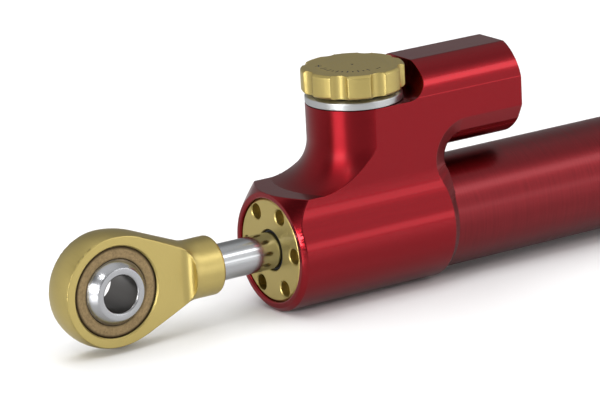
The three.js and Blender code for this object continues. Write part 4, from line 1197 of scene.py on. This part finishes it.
def make_pieces():
    """All fine pieces over the CAD nodes that show."""
    body = housing()
    finished(body, "housing", red_body())
    give_faces(body, red_tower(), on_tower)
    finished(outer_tube(), "outer_tube", red_tube())
    finished(gland_cap(), "gland_cap", gold("gold_cap", "x", AXIS, roughness=0.42))
    rubber = plain("rubber_wiper", RUBBER, roughness=0.6, grain=3.0)
    finished(rod_wiper(), "rod_wiper", rubber)
    rod = turned_metal("chrome_rod", CHROME, "x", AXIS, roughness=0.16, pitch=0.1, depth=0.0008)
    finished(piston_rod(), "piston_rod", rod)
    finished(rod_end(), "rod_end", gold("gold_eye", "x", AXIS, roughness=0.38))
    finished(bearing_race(), "bearing_race", bronze())
    finished(bearing_ball(), "bearing_ball", steel_ball())
    ring = turned_metal("silver_ring", SILVER, "z", TOWER, roughness=0.34, pitch=0.12, depth=0.003)
    finished(valve_cartridge(), "valve_cartridge", ring)
    dial = knob()
    finished(dial, "knob", gold("gold_knob", "z", TOWER, roughness=0.43))
    give_faces(dial, plain("dark_ink", INK, roughness=0.6, grain=6.0), on_mark)
    finished(end_cap(), "end_cap", gold("gold_end", "x", AXIS))
    finished(reservoir_plug(), "reservoir_plug", gold("gold_plug", "x", BARREL))
    screw = turned_metal("steel_screw", STEEL, "x", BARREL, roughness=0.35, pitch=0.1, depth=0.003)
    finished(charge_screw(), "charge_screw", screw)


# Finishes of the CAD nodes that stay, by material slot: colour, roughness, grain and metallic
INNER_FINISHES = {
    "red_gloss": ((0.27, 0.006, 0.012), 0.3, 2.0, 1.0),
    "red_satin": ((0.24, 0.007, 0.013), 0.4, 2.0, 1.0),
    "gold": (GOLD, 0.35, 2.0, 1.0),
    "bronze": ((0.4, 0.29, 0.145), 0.4, 3.0, 1.0),
    "chrome": ((0.7, 0.71, 0.74), 0.12, 2.0, 1.0),
    "steel": (STEEL, 0.35, 3.0, 1.0),
    "silver": ((0.8, 0.81, 0.83), 0.3, 3.0, 1.0),
    "aluminium": ((0.6, 0.61, 0.62), 0.4, 3.0, 1.0),
    "brass": ((0.6, 0.45, 0.18), 0.35, 3.0, 1.0),
    "rubber": (RUBBER, 0.6, 3.0, 0.0),
    "polymer": ((0.03, 0.05, 0.04), 0.5, 3.0, 0.0),
}


def dress_inner_nodes():
    """Gives the CAD nodes that stay a finish of their material slot."""
    finishes = {slot: plain("inner_" + slot, *row) for slot, row in INNER_FINISHES.items()}
    for node, piece in frame["nodes"].items():
        piece.data.materials.clear()
        piece.data.materials.append(finishes[SLOT_OF[node]])


# Camera, solved from the photograph: azimuth, elevation, roll, distance and lens
CAMERA_AZIMUTH = -32.943
CAMERA_ELEVATION = 15.619
CAMERA_ROLL = -3.04
CAMERA_DISTANCE = 850.8
CAMERA_TARGET = Vector((8.192, 0, 9.516))
SENSOR_WIDTH = 36.0
LENS = 238.67
CLIP_START = 0.01
CLIP_END = 50


def direction(azimuth, elevation):
    """Unit vector towards a place round the damper; azimuth 0 is the near side, -Y."""
    a, e = math.radians(azimuth), math.radians(elevation)
    return Vector((math.sin(a) * math.cos(e), -math.cos(a) * math.cos(e), math.sin(e)))


def in_frame(point):
    """A point of the damper, in millimetres, as a place in the frame."""
    return ORIGIN + Vector(point) * MM


def camera():
    """The photograph's camera."""
    back = direction(CAMERA_AZIMUTH, CAMERA_ELEVATION)
    azimuth = math.radians(CAMERA_AZIMUTH)
    right = Vector((math.cos(azimuth), math.sin(azimuth), 0))
    up = back.cross(right)
    roll = math.radians(CAMERA_ROLL)
    side = right * math.cos(roll) + up * math.sin(roll)
    top = up * math.cos(roll) - right * math.sin(roll)
    data = bpy.data.cameras.new("camera")
    data.sensor_width = SENSOR_WIDTH
    data.sensor_fit = "HORIZONTAL"
    data.lens = LENS
    data.clip_start = CLIP_START
    data.clip_end = CLIP_END
    eye = bpy.data.objects.new("camera", data)
    bpy.context.scene.collection.objects.link(eye)
    turn = Matrix((side, top, back)).transposed().to_4x4()
    place = in_frame(CAMERA_TARGET + back * CAMERA_DISTANCE)
    eye.matrix_world = Matrix.Translation(place) @ turn
    bpy.context.scene.camera = eye


# Lamps: direction, then distance, width and height in metres, then radiance
FLOOR_LAMPS = [
    ("overhead", 0, 90, 1.2, 1.4, 1.4, 1.5),
    ("from behind", 150, 42, 1.2, 0.8, 0.8, 2.0),
]
LAMPS = [
    ("right", 44, 38, 1.2, 1.0, 0.2, 2.7),
    ("low right", 38, 5.5, 1.2, 0.9, 0.2, 1.2),
    ("key", -72, 13, 0.9, 0.42, 0.24, 14.0),
    ("high key", -56, 50, 0.9, 0.12, 0.12, 16.0),
]
LAMP_TARGET = (10, 0, 10)


def softbox(name, azimuth, elevation, distance, width, height, radiance):
    """A rectangular lamp that faces the damper from a direction, by its radiance."""
    data = bpy.data.lights.new(name, "AREA")
    data.shape = "RECTANGLE"
    data.size = width
    data.size_y = height
    data.energy = radiance * math.pi * width * height
    lamp = bpy.data.objects.new(name, data)
    bpy.context.scene.collection.objects.link(lamp)
    towards = direction(azimuth, elevation)
    lamp.location = in_frame(LAMP_TARGET) + towards * distance
    lamp.rotation_mode = "QUATERNION"
    lamp.rotation_quaternion = towards.to_track_quat("Z", "Y")
    return lamp


# Floor, in metres, and its shades. Reflections see a double just above it, darker than the floor
# and with painted shade darkening it towards the back left.
FLOOR_HALF = 6.0
FLOOR_LIFT = 0.00005
FLOOR_SHADE = (0.86, 0.86, 0.86)
REFLECTED_SHADE = (0.7, 0.7, 0.7)
REFLECTED_DARK = (0.5, 0.5, 0.5)
REFLECTED_PALE = (0.66, 0.66, 0.66)
FADE_AZIMUTH = 33
FADE_START = -70
FADE_END = 15


def floor_plane(name, height, finish):
    """A wide level plane of the stage, at a height in metres."""
    made = bmesh.new()
    corners = rectangle(-FLOOR_HALF, FLOOR_HALF, -FLOOR_HALF, FLOOR_HALF)
    made.faces.new([made.verts.new((x, y, height)) for x, y in corners])
    plane = as_piece(name, made)
    plane.data.materials.append(finish.material)
    return plane


def floor():
    """Pale floor, and its glossier, darker double that only reflections see, with painted shade
    towards the back left.
    """
    pale = Finish("floor", FLOOR_SHADE, roughness=0.45, metallic=0.0)
    pale.set("Specular IOR Level", 0.25)
    floor_plane("floor", 0, pale).visible_glossy = False
    shaded = Finish("floor_reflected", REFLECTED_SHADE, roughness=0.25, metallic=0.0)
    x, y = shaded.place()[:2]
    towards = direction(FADE_AZIMUTH, 0)
    forward = shaded.math("MULTIPLY", x, towards.x)
    ahead = shaded.math("ADD", forward, shaded.math("MULTIPLY", y, towards.y))
    # Painted shade: the double darkens towards the back left
    fade = shaded.ranged(ahead, 0, 1, FADE_START, FADE_END)
    shaded.tint(fade, REFLECTED_DARK, REFLECTED_PALE)
    double = floor_plane("floor_reflected", FLOOR_LIFT, shaded)
    double.visible_camera = False
    double.visible_diffuse = False
    double.visible_shadow = False


# Room seen in the reflections: its even grey, and paler or darker parts as direction, spread
# and added brightness. A part has its full brightness over a share of its spread.
ROOM_GREY = 0.56
ROOM_CORE_SHARE = 0.25
ROOM_PARTS = [
    ("dark back", 147, 16, 46, -0.3),
    ("dark side behind the camera", -12, 22, 42, -0.22),
    ("dark gap on the left", -98, 38, 26, -0.5),
    ("white wall on the right", 38, 22, 40, 0.6),
    ("pale wall on the left", -118, 12, 50, 0.2),
    ("ceiling", 0, 90, 40, 0.35),
]


def world():
    """White room for the camera, and a grey one with paler and darker parts for reflections."""
    room = bpy.data.worlds.new("studio")
    bpy.context.scene.world = room
    graph = Graph(room)
    seen = graph.add("ShaderNodeTexCoord").outputs["Generated"]
    total = ROOM_GREY
    for name, azimuth, elevation, spread, amount in ROOM_PARTS:
        dot = graph.add("ShaderNodeVectorMath", operation="DOT_PRODUCT", label=name)
        graph.feed(dot, seen, direction(azimuth, elevation))
        edge, core = [math.cos(math.radians(a)) for a in (spread, spread * ROOM_CORE_SHARE)]
        part = graph.ranged(dot.outputs["Value"], 0, amount, edge, core, "SMOOTHSTEP")
        total = graph.math("ADD", part, total)
    to_camera = graph.add("ShaderNodeLightPath").outputs["Is Camera Ray"]
    strength = graph.add("ShaderNodeMix", Factor=to_camera, A=total, B=1.0).outputs[0]
    graph.feed(graph.nodes["Background"], (1, 1, 1, 1), strength)


def studio():
    """Camera, floor, room and lamps. Reflections don't see the lamps that are for the floor."""
    camera()
    floor()
    world()
    for lamp in FLOOR_LAMPS:
        softbox(*lamp).visible_glossy = False
    for lamp in LAMPS:
        softbox(*lamp)
    bpy.context.scene.view_settings.view_transform = "Standard"


studio()
make_pieces()
dress_inner_nodes()
